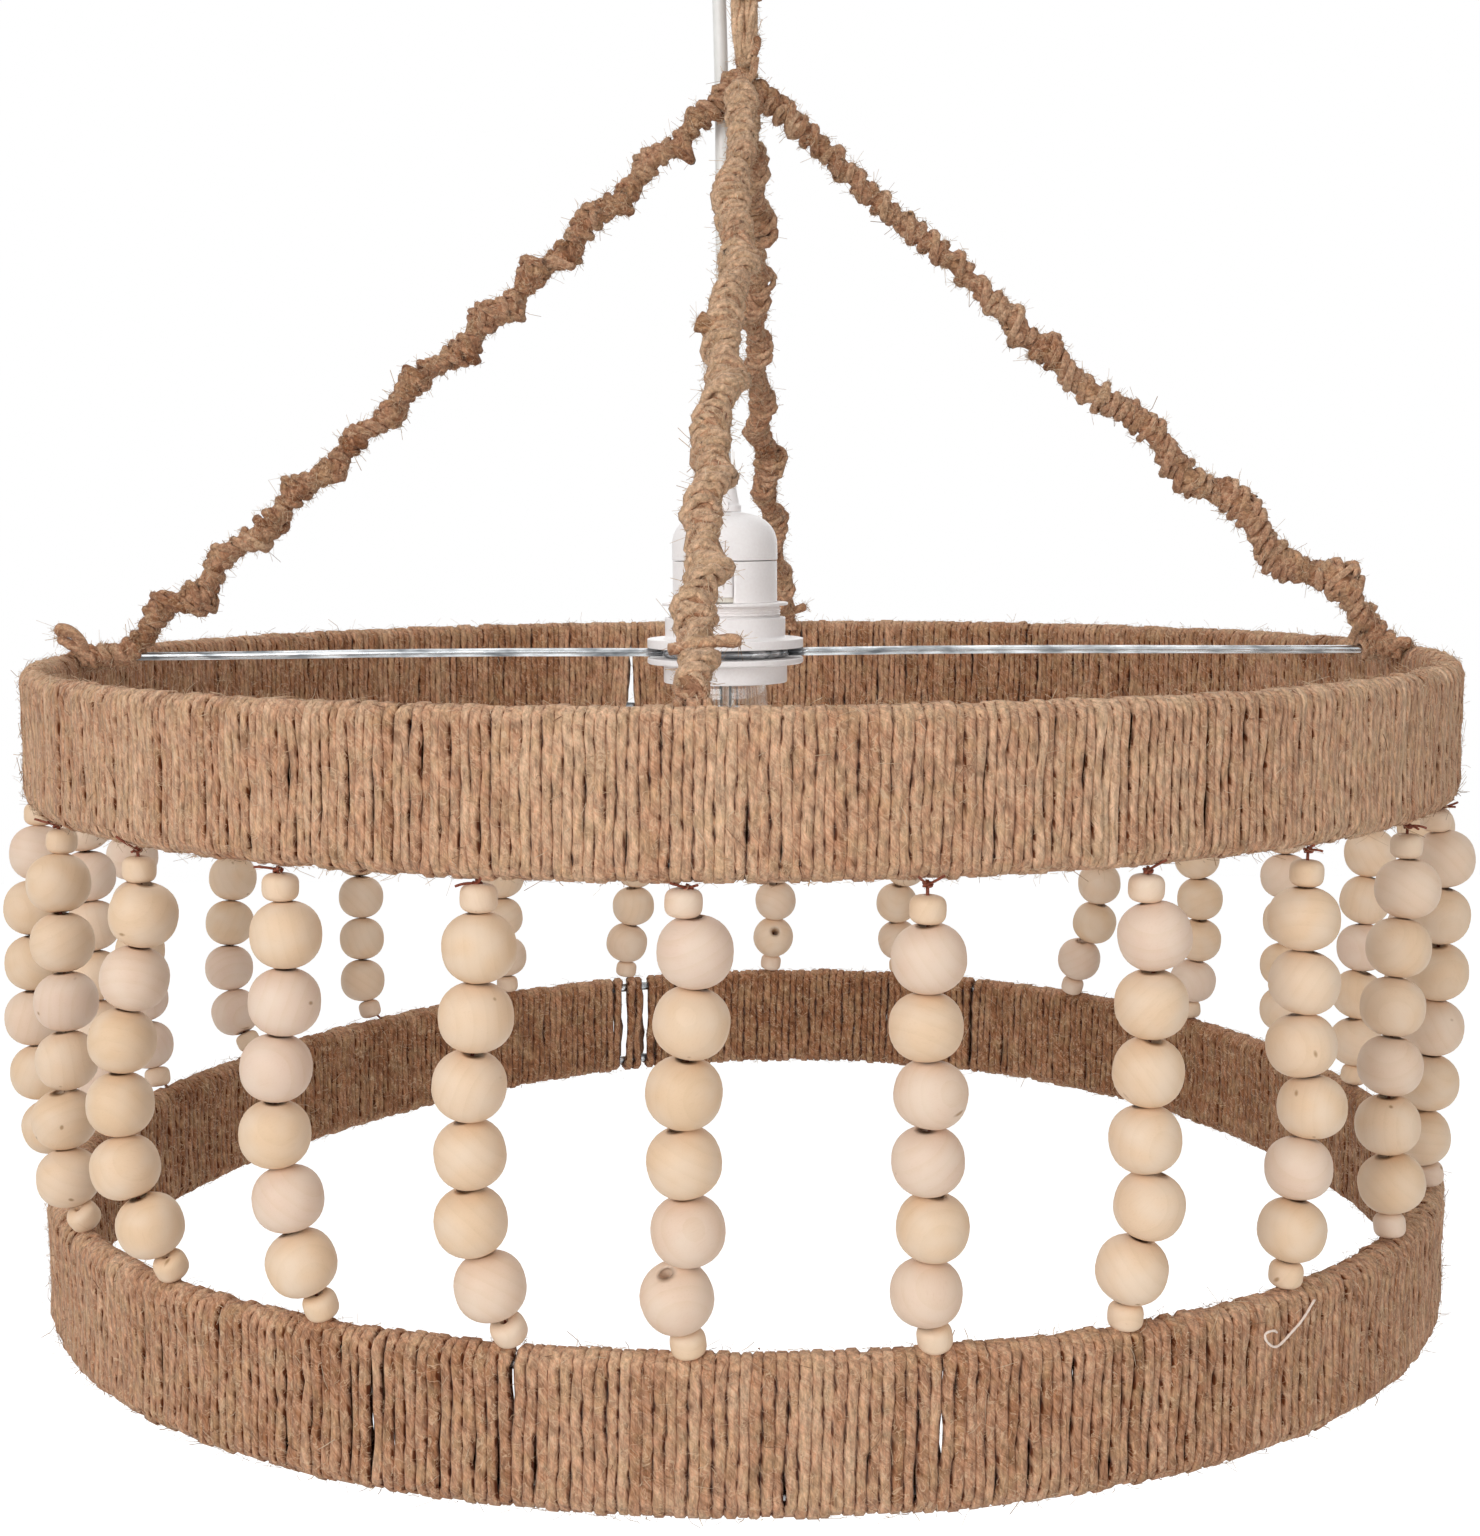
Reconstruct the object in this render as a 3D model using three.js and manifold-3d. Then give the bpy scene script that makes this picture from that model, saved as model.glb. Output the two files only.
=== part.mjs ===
// Beaded jute chandelier. Two hoop bands wound with jute twine hang one under the other on strings of wooden
// beads. Four jute ropes carry the upper band from a ceiling hook, and a wire bar across it holds the lamp.
// Millimetres, Z up. The ceiling is z = 0, the hook hangs on the Z axis, and the front of the lamp is -Y.

import * as THREE from 'three';
import { mergeVertices } from 'three/addons/utils/BufferGeometryUtils.js';
import Module from 'manifold-3d';

const wasm = await Module();
wasm.setup();

// Clearances and allowances
const seat = 0.3;
const cutOverrun = 1;
const turningGap = 0.6;

// How far things swing, in degrees
const swingLimit = 10;
const swayLimit = 5;

// Ceiling fitting
const canopyRadius = 45;
const canopyHeight = 24;
const canopyWall = 2;
const canopyChamfer = 4;
const bracketLength = 72;
const bracketWidth = 16;
const bracketThickness = 2.5;
const bracketHoleRadius = 2.5;
const bracketHoleSpacing = 52;
const bossRadius = 5.5;
const bossHeight = 8;
const hookWireRadius = 1.75;
const hookBowlRadius = 8.75;
const hookNeck = 14;
const hookTipTurn = 205;
const hookNutRadius = 7;
const hookNutHeight = 3;
const hangRingWireRadius = 1.5;
const hangRingRadius = 9.5;
const terminalLength = 18;
const terminalWidth = 12;
const terminalHeight = 9;

// Cable and its outlet in the canopy
const cableRadius = 2.5;
const cableOffsetX = -9.8;
const cableOffsetY = 10.2;
const cableTopAboveMouth = 5.5;
const outletMouthDrop = 28;
const outletWall = 1.2;
const outletCeilingRadius = 6.5;

// Ropes
const eyeCordRadius = 3.2;
const eyeHalfWidth = 5.6;
const eyeLength = 22;
const mainRopeRadius = 4.7;
const sideRopeRadius = 5.25;
const apexDrop = 58;
const bindingRadius = 8;
const bindingHeight = 22;
const ropeStartDrop = 5;
const ropeWander = 10;
const knotRadius = 7;
const knotInset = 6;
const knotAboveHoop = 8;

// Bands: hoops of wire, wound round together with twine
const apexAboveHoop = 203.5;
const hoopRadius = 245;
const hoopWireRadius = 2;
const hoopSpacing = 35.5;
const twine = 2.7;
const bandShiftX = -2.6;
const lowerHoopRadius = 242;
const lowerDrop = 173;
const lowerShiftX = 6;
const lowerShiftY = 4.5;
const slitWidth = 1.4;
const slitHeight = 27;

// The lower hoops are bent out of round: wave count, cosine share and sine share of the radius
const lowerRoundShares = [[2, 0.0197, -0.0234], [3, -0.0302, 0.0132]];

// Bead strings
const beadRadius = 9.9;
const smallBeadRadius = 4.8;
const smallBeadLength = 6.6;
const stringRadius = 0.7;
const stringTop = 1.2;
const stringFoot = 1.6;
const beadWaistRadius = 4.6;
const smallWaistRadius = 3.3;

// Lamp holder, on the cross bar
const holderShiftX = -5.7;
const barWireRadius = 1.5;
const barAboveHoop = 4.05;
const flangeRadius = 28.4;
const flangeThickness = 3.4;
const lowerFlangeThickness = 2.2;
const upperCollarRadius = 21.9;
const upperCollarHeight = 7.6;
const lowerCollarRadius = 22.5;
const lowerCollarHeight = 6.9;
const bodyRadius = 19.8;
const bodyRimRadius = 21.8;
const bodyRimHeight = 1.2;
const bodyRimAboveHoop = 21.1;
const bodyTopAboveHoop = 37.1;
const bodyWall = 2;
const tongueWidth = 6;
const tongueGap = 1.7;
const threadBore = 13.9;
const threadBoreHeight = 17;
const capRadius = 20;
const capHeight = 17;
const capShoulderRadius = 17.5;
const capShoulderHeight = 12.5;
const capTopRadius = 8;
const capWall = 1.6;
const glandRadius = 6;
const glandTopRadius = 3.9;
const glandHeight = 10;
const contactHeight = 8;

// Bulb: overall length is of the glass and the screw cap together
const bulbCapRadius = 13.1;
const bulbCapHeight = 25;
const bulbCapSkirt = 5.5;
const bulbTipRadius = 4.5;
const bulbTipHeight = 2;
const glassNeckRadius = 12.2;
const glassShoulderRadius = 15.8;
const glassRadius = 27.5;
const glassLength = 72;
const glassWall = 1;
const stemRadius = 4;
const stemLength = 34;

// How much of a band's half thickness its rounded edges take up
const endChamferShare = 0.45;

// Facets
const hoopSegments = 36;
const wireSides = 5;
const beadSides = 7;
const ropeSides = 8;
const tubeSides = 8;
const latheSegments = 18;

// Strings of beads in order round the lamp: place on the upper band and on the lower band, in degrees from the
// front towards +X, then how far each bead stands sideways of the straight line, as a share of a bead's width
const strandShares = [
  [-3.3, -5.1, [-0.05, 0.1, 0.05, -0.05, -0.05, 0, -0.15, 0]],
  [11.1, 10.7, [0, 0, -0.05, 0, -0.05, 0, -0.1, 0]],
  [26, 23.8, [0, 0.15, 0.15, 0.15, 0.15, 0.25, 0.05, 0]],
  [40.4, 37.6, [0, 0, 0.05, 0.05, 0.25, 0.1, 0.05, 0]],
  [55.2, 51.7, [0, 0.05, -0.05, -0.1, -0.1, -0.1, 0, 0]],
  [66, 66, [-0.05, 0.1, 0.05, 0.05, 0, -0.05, -0.15, 0]],
  [84.5, 83, [0, 0.05, 0, -0.05, -0.05, 0, 0.05, 0]],
  [99, 97.3, [0, 0.05, 0.1, 0.05, 0.05, 0, 0, 0]],
  [113.5, 111.3, [0, -0.05, 0, 0, 0.05, 0, 0, 0]],
  [125.9, 127.2, [0, 0, 0.05, 0.05, 0.15, 0.15, 0.05, 0]],
  [138.5, 142.5, [0, 0.05, 0.1, 0.2, 0.25, 0.2, -0.1, -0.2]],
  [161.5, 164, [0, 0.1, 0.15, 0.15, 0.1, -0.1, -0.05, 0]],
  [176.1, 178, [0, 0.05, 0.1, 0.1, 0.1, 0.05, 0, -0.05]],
  [-168.2, -166, [0, 0, 0.05, 0.05, 0.05, 0, -0.15, -0.15]],
  [-152, -150.5, [0, -0.05, 0, 0.05, 0, -0.05, 0, 0]],
  [-135.4, -132.5, [0, -0.05, -0.1, -0.2, -0.2, -0.25, -0.3, -0.2]],
  [-118.7, -114.5, [0, -0.05, -0.15, -0.25, -0.4, -0.5, -0.45, -0.25]],
  [-102, -99, [0, -0.1, -0.15, -0.15, -0.2, -0.25, -0.25, -0.15]],
  [-90, -88, [0, 0.05, 0.05, 0.05, 0, -0.05, -0.05, 0]],
  [-75, -72, [-0.05, -0.1, -0.25, -0.3, -0.35, -0.3, -0.15, 0]],
  [-60.5, -57.5, [0.05, -0.05, -0.05, -0.05, -0.1, -0.2, -0.2, 0]],
  [-45.2, -43.8, [0, 0, -0.2, -0.45, -0.55, -0.55, -0.25, 0]],
  [-30.8, -30, [0, 0, -0.1, -0.3, -0.4, -0.3, -0.2, 0]],
  [-16.3, -16.6, [0, -0.05, -0.15, -0.3, -0.35, -0.4, -0.2, 0]],
];

// Where the side ropes are tied, in degrees from the front
const frontTiePlace = -3;
const rightTiePlace = 90;
const backTiePlace = 174.6;
const leftTiePlace = -90;

// How each side rope wanders along X and how it rises from the straight line on its way down, as shares of the
// wander, evenly spaced from the binding to the knot
const ropeShares = {
  rope_front: [frontTiePlace, [0, 0.12, 0.2, 0.18, 0, 0, 0, 0], [0, 0, 0, 0, 0, 0, 0, 0]],
  rope_right: [rightTiePlace, [0, 0, 0, 0, 0, 0, 0, 0], [0, 0, -0.1, -0.65, -0.25, -0.5, -0.4, 0]],
  rope_back: [backTiePlace, [0, 0.14, 0, -0.2, -0.26, -0.22, -0.26, 0], [0, 0, 0, 0, 0, 0, 0, 0]],
  rope_left: [leftTiePlace, [0, 0, 0, 0, 0, 0, 0, 0], [0, -0.22, -0.45, -0.6, -1, -1.1, -1.2, 0]],
};

// Where the winding gapes, in degrees from the front
const upperSlitPlaces = [-168];
const lowerSlitPlaces = [-164, 155, -26, -16.6, 10.7];

// Heights, worked down from the ceiling
const rad = THREE.MathUtils.degToRad;
const hookBowlZ = -canopyHeight - hookNeck;
const hookFootZ = hookBowlZ - hookBowlRadius;
const hangRingTopZ = hookFootZ + hookWireRadius + hangRingWireRadius + seat;
const hangRingZ = hangRingTopZ - hangRingRadius;
const hangRingFootZ = hangRingZ - hangRingRadius;
const eyeTopZ = hangRingFootZ + hangRingWireRadius + eyeCordRadius + seat;
const apexZ = hangRingFootZ - apexDrop;
const upperHoopZ = apexZ - apexAboveHoop;
const lowerHoopZ = upperHoopZ - lowerDrop;
const bandHalf = hoopWireRadius + seat + twine;
const outletMouthZ = -canopyHeight - outletMouthDrop;
const cableTopZ = outletMouthZ + cableTopAboveMouth;

const upperBand = { radius: hoopRadius, x: bandShiftX, y: 0, z: upperHoopZ, waves: [], slits: upperSlitPlaces };
const lowerBand = {
  radius: lowerHoopRadius,
  x: bandShiftX + lowerShiftX,
  y: lowerShiftY,
  z: lowerHoopZ,
  waves: lowerRoundShares,
  slits: lowerSlitPlaces,
};
const upperBandFootZ = upperHoopZ - hoopSpacing - bandHalf;
const upperBandTopZ = upperHoopZ + bandHalf;
const lowerBandTopZ = lowerHoopZ + bandHalf;
const holderX = bandShiftX + holderShiftX;
const barZ = upperHoopZ + barAboveHoop;

// Materials
const finish = (color, roughness, metalness = 0) => new THREE.MeshStandardMaterial({ color, roughness, metalness });
const jute = finish(0xb48e68, 0.95);
const darkJute = finish(0x9a7552, 0.95);
const paleWood = finish(0xe8d3b6, 0.6);
const whitePlastic = finish(0xf0efec, 0.35);
const zincWire = finish(0xa9adb2, 0.35, 1);
const steel = finish(0xb9bcc0, 0.3, 1);
const brass = finish(0xc9a55c, 0.3, 1);
const glass = finish(0xf2f6f8, 0.05);
const plasticCable = finish(0xf4f4f2, 0.4);
const porcelain = finish(0xece8df, 0.3);

// Closed meshes to solids for joining and cutting, and back
function toSolid(geometry) {
  const bare = geometry.clone();
  bare.deleteAttribute('normal');
  bare.deleteAttribute('uv');
  const merged = mergeVertices(bare);
  const vertProperties = new Float32Array(merged.attributes.position.array);
  const triVerts = new Uint32Array(merged.index.array);
  return new wasm.Manifold(new wasm.Mesh({ numProp: 3, vertProperties, triVerts }));
}

function fromSolid(solid) {
  const mesh = solid.getMesh();
  const geometry = new THREE.BufferGeometry();
  geometry.setAttribute('position', new THREE.BufferAttribute(mesh.vertProperties, 3));
  geometry.setIndex(new THREE.BufferAttribute(mesh.triVerts, 1));
  return geometry;
}

// A lathe about the Z axis, from points of radius and height that start and end on the axis or close on themselves
function turned(points, segments = latheSegments) {
  const outline = points.map(([r, z]) => new THREE.Vector2(r, z));
  return new THREE.LatheGeometry(outline, segments).rotateX(Math.PI / 2);
}

// A ring-shaped lathe, whose outline closes on itself
function turnedRing(points, segments = latheSegments) {
  return turned([...points, points[0]], segments);
}

// A tube of changing radius through stations, each with its point, its direction and its radius
function sweptBody(stations, sides) {
  const positions = [];
  const indices = [];
  const level = Math.abs(stations[0].along.z) < Math.SQRT1_2;
  let reference = level ? new THREE.Vector3(0, 0, 1) : new THREE.Vector3(1, 0, 0);
  for (const { point, along, radius } of stations) {
    const side = reference.clone().addScaledVector(along, -reference.dot(along)).normalize();
    const up = along.clone().cross(side);
    for (let k = 0; k < sides; k += 1) {
      const angle = (2 * Math.PI * k) / sides;
      const place = point.clone();
      place.addScaledVector(side, radius * Math.cos(angle)).addScaledVector(up, radius * Math.sin(angle));
      positions.push(place.x, place.y, place.z);
    }
    reference = side;
  }
  const last = (stations.length - 1) * sides;
  for (let ring = 0; ring < last; ring += sides) {
    for (let k = 0; k < sides; k += 1) {
      const next = (k + 1) % sides;
      indices.push(ring + k, ring + next, ring + sides + next, ring + k, ring + sides + next, ring + sides + k);
    }
  }
  for (let k = 1; k < sides - 1; k += 1) {
    indices.push(0, k + 1, k, last, last + k, last + k + 1);
  }
  const geometry = new THREE.BufferGeometry();
  geometry.setAttribute('position', new THREE.Float32BufferAttribute(positions, 3));
  geometry.setIndex(indices);
  return geometry;
}

// A round rod of one radius through points
function rod(points, radius, steps, sides = tubeSides) {
  const corners = Array.from({ length: sides }, (unused, k) => {
    const angle = (2 * Math.PI * k) / sides;
    return new THREE.Vector2(radius * Math.cos(angle), radius * Math.sin(angle));
  });
  const path = new THREE.CatmullRomCurve3(points);
  return new THREE.ExtrudeGeometry(new THREE.Shape(corners), { steps, extrudePath: path, bevelEnabled: false });
}

// A torus round the Z axis
function wireRing(radius, wireRadius, segments, sides) {
  const corners = Array.from({ length: sides }, (unused, k) => {
    const angle = (2 * Math.PI * k) / sides;
    return [radius + wireRadius * Math.cos(angle), wireRadius * Math.sin(angle)];
  });
  return turnedRing(corners, segments);
}

// A place on a band, from its angle from the front, its distance out from the hoops' line and its height above
// the upper hoop
function onBand(band, degrees, outward = 0, up = 0) {
  const angle = rad(degrees);
  const bend = band.waves.reduce((sum, [n, c, s]) => sum + c * Math.cos(n * angle) + s * Math.sin(n * angle), 1);
  const reach = band.radius * bend + outward;
  return new THREE.Vector3(band.x + reach * Math.sin(angle), band.y - reach * Math.cos(angle), band.z + up);
}

// A body that goes right round a band with one section, given as outward and up, anticlockwise
function roundBand(band, section) {
  const positions = [];
  const indices = [];
  const count = section.length;
  for (let ring = 0; ring < hoopSegments; ring += 1) {
    for (const [outward, up] of section) {
      positions.push(...onBand(band, (360 * ring) / hoopSegments, outward, up).toArray());
    }
  }
  for (let ring = 0; ring < hoopSegments; ring += 1) {
    const here = ring * count;
    const ahead = ((ring + 1) % hoopSegments) * count;
    for (let k = 0; k < count; k += 1) {
      const next = (k + 1) % count;
      indices.push(here + k, ahead + next, here + next, here + k, ahead + k, ahead + next);
    }
  }
  const geometry = new THREE.BufferGeometry();
  geometry.setAttribute('position', new THREE.Float32BufferAttribute(positions, 3));
  geometry.setIndex(indices);
  return geometry;
}

// The outline of a wound band or of its hollow: two parallel sides and chamfered ends round the hoops
function windingSection(half, chamferShare) {
  const inset = half * chamferShare;
  const top = half;
  const foot = -hoopSpacing - half;
  return [
    [half, foot + inset],
    [half, top - inset],
    [half - inset, top],
    [-half + inset, top],
    [-half, top - inset],
    [-half, foot + inset],
    [-half + inset, foot],
    [half - inset, foot],
  ];
}

function slitCutter(band, degrees) {
  const depth = 2 * bandHalf + 2 * cutOverrun;
  const box = new THREE.BoxGeometry(slitWidth, depth, slitHeight);
  const place = onBand(band, degrees, 0, -hoopSpacing / 2);
  return toSolid(box.rotateZ(rad(degrees)).translate(place.x, place.y, place.z));
}

// A band's winding: a hollow flat sleeve of twine, which gapes at a few slits
function winding(band) {
  let solid = toSolid(roundBand(band, windingSection(bandHalf, endChamferShare)));
  solid = solid.subtract(toSolid(roundBand(band, windingSection(bandHalf - twine, endChamferShare))));
  for (const degrees of band.slits) {
    solid = solid.subtract(slitCutter(band, degrees));
  }
  return fromSolid(solid);
}

function hoop(band, drop) {
  const section = Array.from({ length: wireSides }, (unused, k) => {
    const angle = (2 * Math.PI * k) / wireSides;
    return [hoopWireRadius * Math.cos(angle), hoopWireRadius * Math.sin(angle) - drop];
  });
  return roundBand(band, section);
}

// A string of beads: a small bead, six large ones and a small one, end to end. The large beads are as long as
// fills the drop, and each bead's ends meet its neighbours' half way between them.
function beadCentres(top, foot, kinkShares) {
  const lengths = kinkShares.map((unused, k) => (k === 0 || k === kinkShares.length - 1 ? smallBeadLength : 0));
  const drop = top.z - foot.z - smallBeadLength;
  const plan = kinkShares.map((kink, k) => {
    const along = new THREE.Vector3().lerpVectors(top, foot, (k + 1 / 2) / kinkShares.length);
    return along.setX(along.x + kink * 2 * beadRadius);
  });
  const largeCount = kinkShares.length - 2;
  let large = (drop - smallBeadLength) / largeCount;
  let falls = [];
  for (let round = 0; round < 6; round += 1) {
    falls = plan.slice(1).map((place, k) => {
      const ends = k === 0 || k === plan.length - 2;
      const step = ends ? (large + smallBeadLength) / 2 : large;
      const aside = Math.hypot(place.x - plan[k].x, place.y - plan[k].y);
      return Math.sqrt(Math.max(step * step - aside * aside, 0));
    });
    const total = falls.reduce((sum, fall) => sum + fall, 0);
    large *= 1 + (drop - total) / total;
  }
  let z = top.z - smallBeadLength / 2;
  return plan.map((place, k) => {
    z -= k === 0 ? 0 : falls[k - 1];
    return { point: place.clone().setZ(z), length: lengths[k] || large, small: lengths[k] > 0 };
  });
}

function strandStations(top, foot, stringEnds, kinkShares) {
  const beads = beadCentres(top, foot, kinkShares);
  const bellyShare = 0.23;
  const joints = beads.slice(1).map((bead, k) => {
    const share = beads[k].length / (beads[k].length + bead.length);
    const small = bead.small || beads[k].small;
    const along = bead.point.clone().sub(beads[k].point).normalize();
    const point = new THREE.Vector3().lerpVectors(beads[k].point, bead.point, share);
    return { point, along, radius: small ? smallWaistRadius : beadWaistRadius };
  });
  const down = new THREE.Vector3(0, 0, -1);
  const stations = [
    { point: stringEnds[0], along: down, radius: stringRadius },
    { point: top, along: down, radius: stringRadius },
  ];
  beads.forEach((bead, k) => {
    const from = k === 0 ? top : joints[k - 1].point;
    const to = k === beads.length - 1 ? foot : joints[k].point;
    const along = to.clone().sub(from).normalize();
    const reach = bead.length * bellyShare;
    const radius = bead.small ? smallBeadRadius : beadRadius;
    stations.push({ point: bead.point.clone().addScaledVector(along, -reach), along, radius });
    stations.push({ point: bead.point.clone().addScaledVector(along, reach), along, radius });
    if (k < joints.length) {
      stations.push(joints[k]);
    }
  });
  stations.push({ point: foot, along: down, radius: stringRadius });
  stations.push({ point: stringEnds[1], along: down, radius: stringRadius });
  return stations;
}

// The string stops short of the lower band by what its own lean lifts or lowers it as the band sways
function beadStrand([upperPlace, lowerPlace, kinkShares]) {
  const [leadUpper, leadLower] = strandShares[0];
  const lean = onBand(lowerBand, lowerPlace).x - onBand(upperBand, upperPlace).x;
  const leadLean = onBand(lowerBand, leadLower).x - onBand(upperBand, leadUpper).x;
  const swayGap = seat + Math.abs(lean - leadLean) * Math.sin(rad(swayLimit));
  const tie = onBand(upperBand, upperPlace).setZ(upperBandFootZ - seat);
  const top = tie.clone().setZ(upperBandFootZ - stringTop);
  const end = onBand(lowerBand, lowerPlace).setZ(lowerBandTopZ + swayGap);
  const foot = end.clone().setZ(lowerBandTopZ + stringFoot);
  return sweptBody(strandStations(top, foot, [tie, end], kinkShares), beadSides);
}

// Ceiling fitting
function canopy() {
  const inner = canopyRadius - canopyWall;
  const shell = turnedRing([
    [hookWireRadius + seat, -canopyHeight],
    [canopyRadius - canopyChamfer, -canopyHeight],
    [canopyRadius, -canopyHeight + canopyChamfer],
    [canopyRadius, 0],
    [inner, 0],
    [inner, -canopyHeight + canopyChamfer],
    [inner - canopyChamfer + canopyWall, -canopyHeight + canopyWall],
    [hookWireRadius + seat, -canopyHeight + canopyWall],
  ]);
  const cutHeight = canopyWall + 2 * cutOverrun;
  const hole = new THREE.CylinderGeometry(cableRadius + seat, cableRadius + seat, cutHeight, tubeSides);
  hole.rotateX(Math.PI / 2).translate(cableOffsetX, cableOffsetY, -canopyHeight + canopyWall / 2);
  return fromSolid(toSolid(shell).subtract(toSolid(hole)));
}

function hookBracket() {
  const strap = new THREE.BoxGeometry(bracketLength, bracketWidth, bracketThickness);
  strap.translate(0, 0, -bracketThickness / 2);
  const boss = new THREE.CylinderGeometry(bossRadius, bossRadius, bossHeight + bracketThickness / 2, latheSegments);
  boss.rotateX(Math.PI / 2).translate(0, 0, -bracketThickness * 3 / 4 - bossHeight / 2);
  let solid = toSolid(strap).add(toSolid(boss));
  const bore = new THREE.CylinderGeometry(hookWireRadius + seat, hookWireRadius + seat, bossHeight, tubeSides);
  bore.rotateX(Math.PI / 2).translate(0, 0, -bracketThickness - bossHeight / 2 - cutOverrun);
  solid = solid.subtract(toSolid(bore));
  for (const side of [-1, 1]) {
    const height = bracketThickness + 2 * cutOverrun;
    const hole = new THREE.CylinderGeometry(bracketHoleRadius, bracketHoleRadius, height, tubeSides);
    hole.rotateX(Math.PI / 2).translate((side * bracketHoleSpacing) / 2, 0, -bracketThickness / 2);
    solid = solid.subtract(toSolid(hole));
  }
  return fromSolid(solid);
}

// The hook lies in the XZ plane: a straight shank on the axis, a shoulder and a round bowl
function ceilingHook() {
  const shankTop = -bracketThickness - cutOverrun - seat;
  const points = [new THREE.Vector3(0, 0, shankTop), new THREE.Vector3(0, 0, -canopyHeight)];
  points.push(new THREE.Vector3(0, 0, hookBowlZ + hookNeck - hookNutHeight - hookWireRadius));
  const startTurn = -35;
  const arcSteps = 10;
  for (let step = 0; step <= arcSteps; step += 1) {
    const turn = rad(startTurn + ((hookTipTurn - startTurn) * step) / arcSteps);
    const x = hookBowlRadius * Math.cos(turn);
    points.push(new THREE.Vector3(x, 0, hookBowlZ - hookBowlRadius * Math.sin(turn)));
  }
  return rod(points, hookWireRadius, 22);
}

function hookNut() {
  const top = -canopyHeight - seat;
  return turnedRing([
    [hookWireRadius + seat, top - hookNutHeight],
    [hookNutRadius, top - hookNutHeight],
    [hookNutRadius, top],
    [hookWireRadius + seat, top],
  ], tubeSides);
}

function terminalBlock() {
  const block = new THREE.BoxGeometry(terminalLength, terminalWidth, terminalHeight);
  const top = -bracketThickness - seat;
  return block.translate(cableOffsetX, cableOffsetY + bracketWidth / 2, top - terminalHeight / 2);
}

// The outlet's bore leaves room for the cable at the swing's limit
function cableOutlet() {
  const top = -canopyHeight - seat;
  const reach = cableTopZ - hangRingFootZ;
  const bore = cableRadius + reach * Math.sin(rad(swingLimit)) + seat;
  const lift = (Math.abs(cableOffsetX) + cableOffsetY) * Math.sin(rad(swingLimit)) + seat;
  const pocketTop = cableTopZ + lift;
  const neck = cableRadius + seat;
  const outline = [
    [neck, top],
    [neck, pocketTop],
    [bore, pocketTop],
    [bore, outletMouthZ],
    [bore + outletWall, outletMouthZ],
    [bore + outletWall, pocketTop + outletWall],
    [neck + outletWall, top - outletWall],
    [outletCeilingRadius, top - outletWall],
    [outletCeilingRadius, top],
  ];
  return turnedRing(outline, 14).translate(cableOffsetX, cableOffsetY, 0);
}

function cableTail() {
  const top = -bracketThickness - terminalHeight - 2 * seat;
  const foot = cableTopZ + (Math.abs(cableOffsetX) + cableOffsetY) * Math.sin(rad(swingLimit)) + seat;
  const height = top - foot;
  const tail = new THREE.CylinderGeometry(cableRadius, cableRadius, height, tubeSides);
  return tail.rotateX(Math.PI / 2).translate(cableOffsetX, cableOffsetY, foot + height / 2);
}

// The ring hangs in the YZ plane on the hook
function hangRing() {
  return wireRing(hangRingRadius, hangRingWireRadius, 20, 6).rotateY(Math.PI / 2).translate(0, 0, hangRingZ);
}

// The rope's eye is its own fold, in the XZ plane, and the two legs go on as one bundle to the binding
function mainRope() {
  const footZ = apexZ + bindingHeight / 2 + seat;
  const points = [];
  const arcSteps = 6;
  for (let step = 0; step <= arcSteps; step += 1) {
    const turn = Math.PI * (step / arcSteps);
    const x = eyeHalfWidth * Math.cos(turn);
    points.push(new THREE.Vector3(x, 0, eyeTopZ - eyeHalfWidth + eyeHalfWidth * Math.sin(turn)));
  }
  const legZ = eyeTopZ - eyeLength;
  const legX = mainRopeRadius - eyeCordRadius;
  points.unshift(new THREE.Vector3(legX, 0, legZ));
  points.push(new THREE.Vector3(-legX, 0, legZ));
  const eye = rod(points, eyeCordRadius, 16, 6);
  const bundleTopZ = legZ + mainRopeRadius;
  const bundle = new THREE.CylinderGeometry(mainRopeRadius, mainRopeRadius, bundleTopZ - footZ, ropeSides);
  bundle.rotateX(Math.PI / 2).translate(0, 0, (bundleTopZ + footZ) / 2);
  return fromSolid(toSolid(eye).add(toSolid(bundle)));
}

function apexBinding() {
  const half = bindingHeight / 2;
  const shoulderShare = 0.5;
  const heelShare = 0.95;
  return turned([
    [0, -half],
    [mainRopeRadius, -half],
    [bindingRadius, -half * heelShare],
    [bindingRadius, half * shoulderShare],
    [mainRopeRadius, half],
    [0, half],
  ], latheSegments).translate(0, 0, apexZ);
}

// The line of a side rope, from beside the binding to its knot on the band's top edge
function sideRopeCurve([place, asideShares, riseShares]) {
  const knot = onBand(upperBand, place, -knotInset, knotAboveHoop);
  const outward = knot.clone().setZ(0).normalize();
  const steepness = Math.atan2(apexZ - ropeStartDrop - knot.z, knot.clone().setZ(0).length());
  const start = outward.clone().multiplyScalar(bindingRadius + seat + sideRopeRadius * Math.sin(steepness));
  start.z = apexZ - ropeStartDrop;
  const rise = outward.clone().multiplyScalar(Math.sin(steepness)).setZ(Math.cos(steepness));
  const points = asideShares.map((aside, k) => {
    const point = new THREE.Vector3().lerpVectors(start, knot, k / (asideShares.length - 1));
    point.x += aside * ropeWander;
    return point.addScaledVector(rise, riseShares[k] * ropeWander);
  });
  return new THREE.CatmullRomCurve3(points);
}

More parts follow.
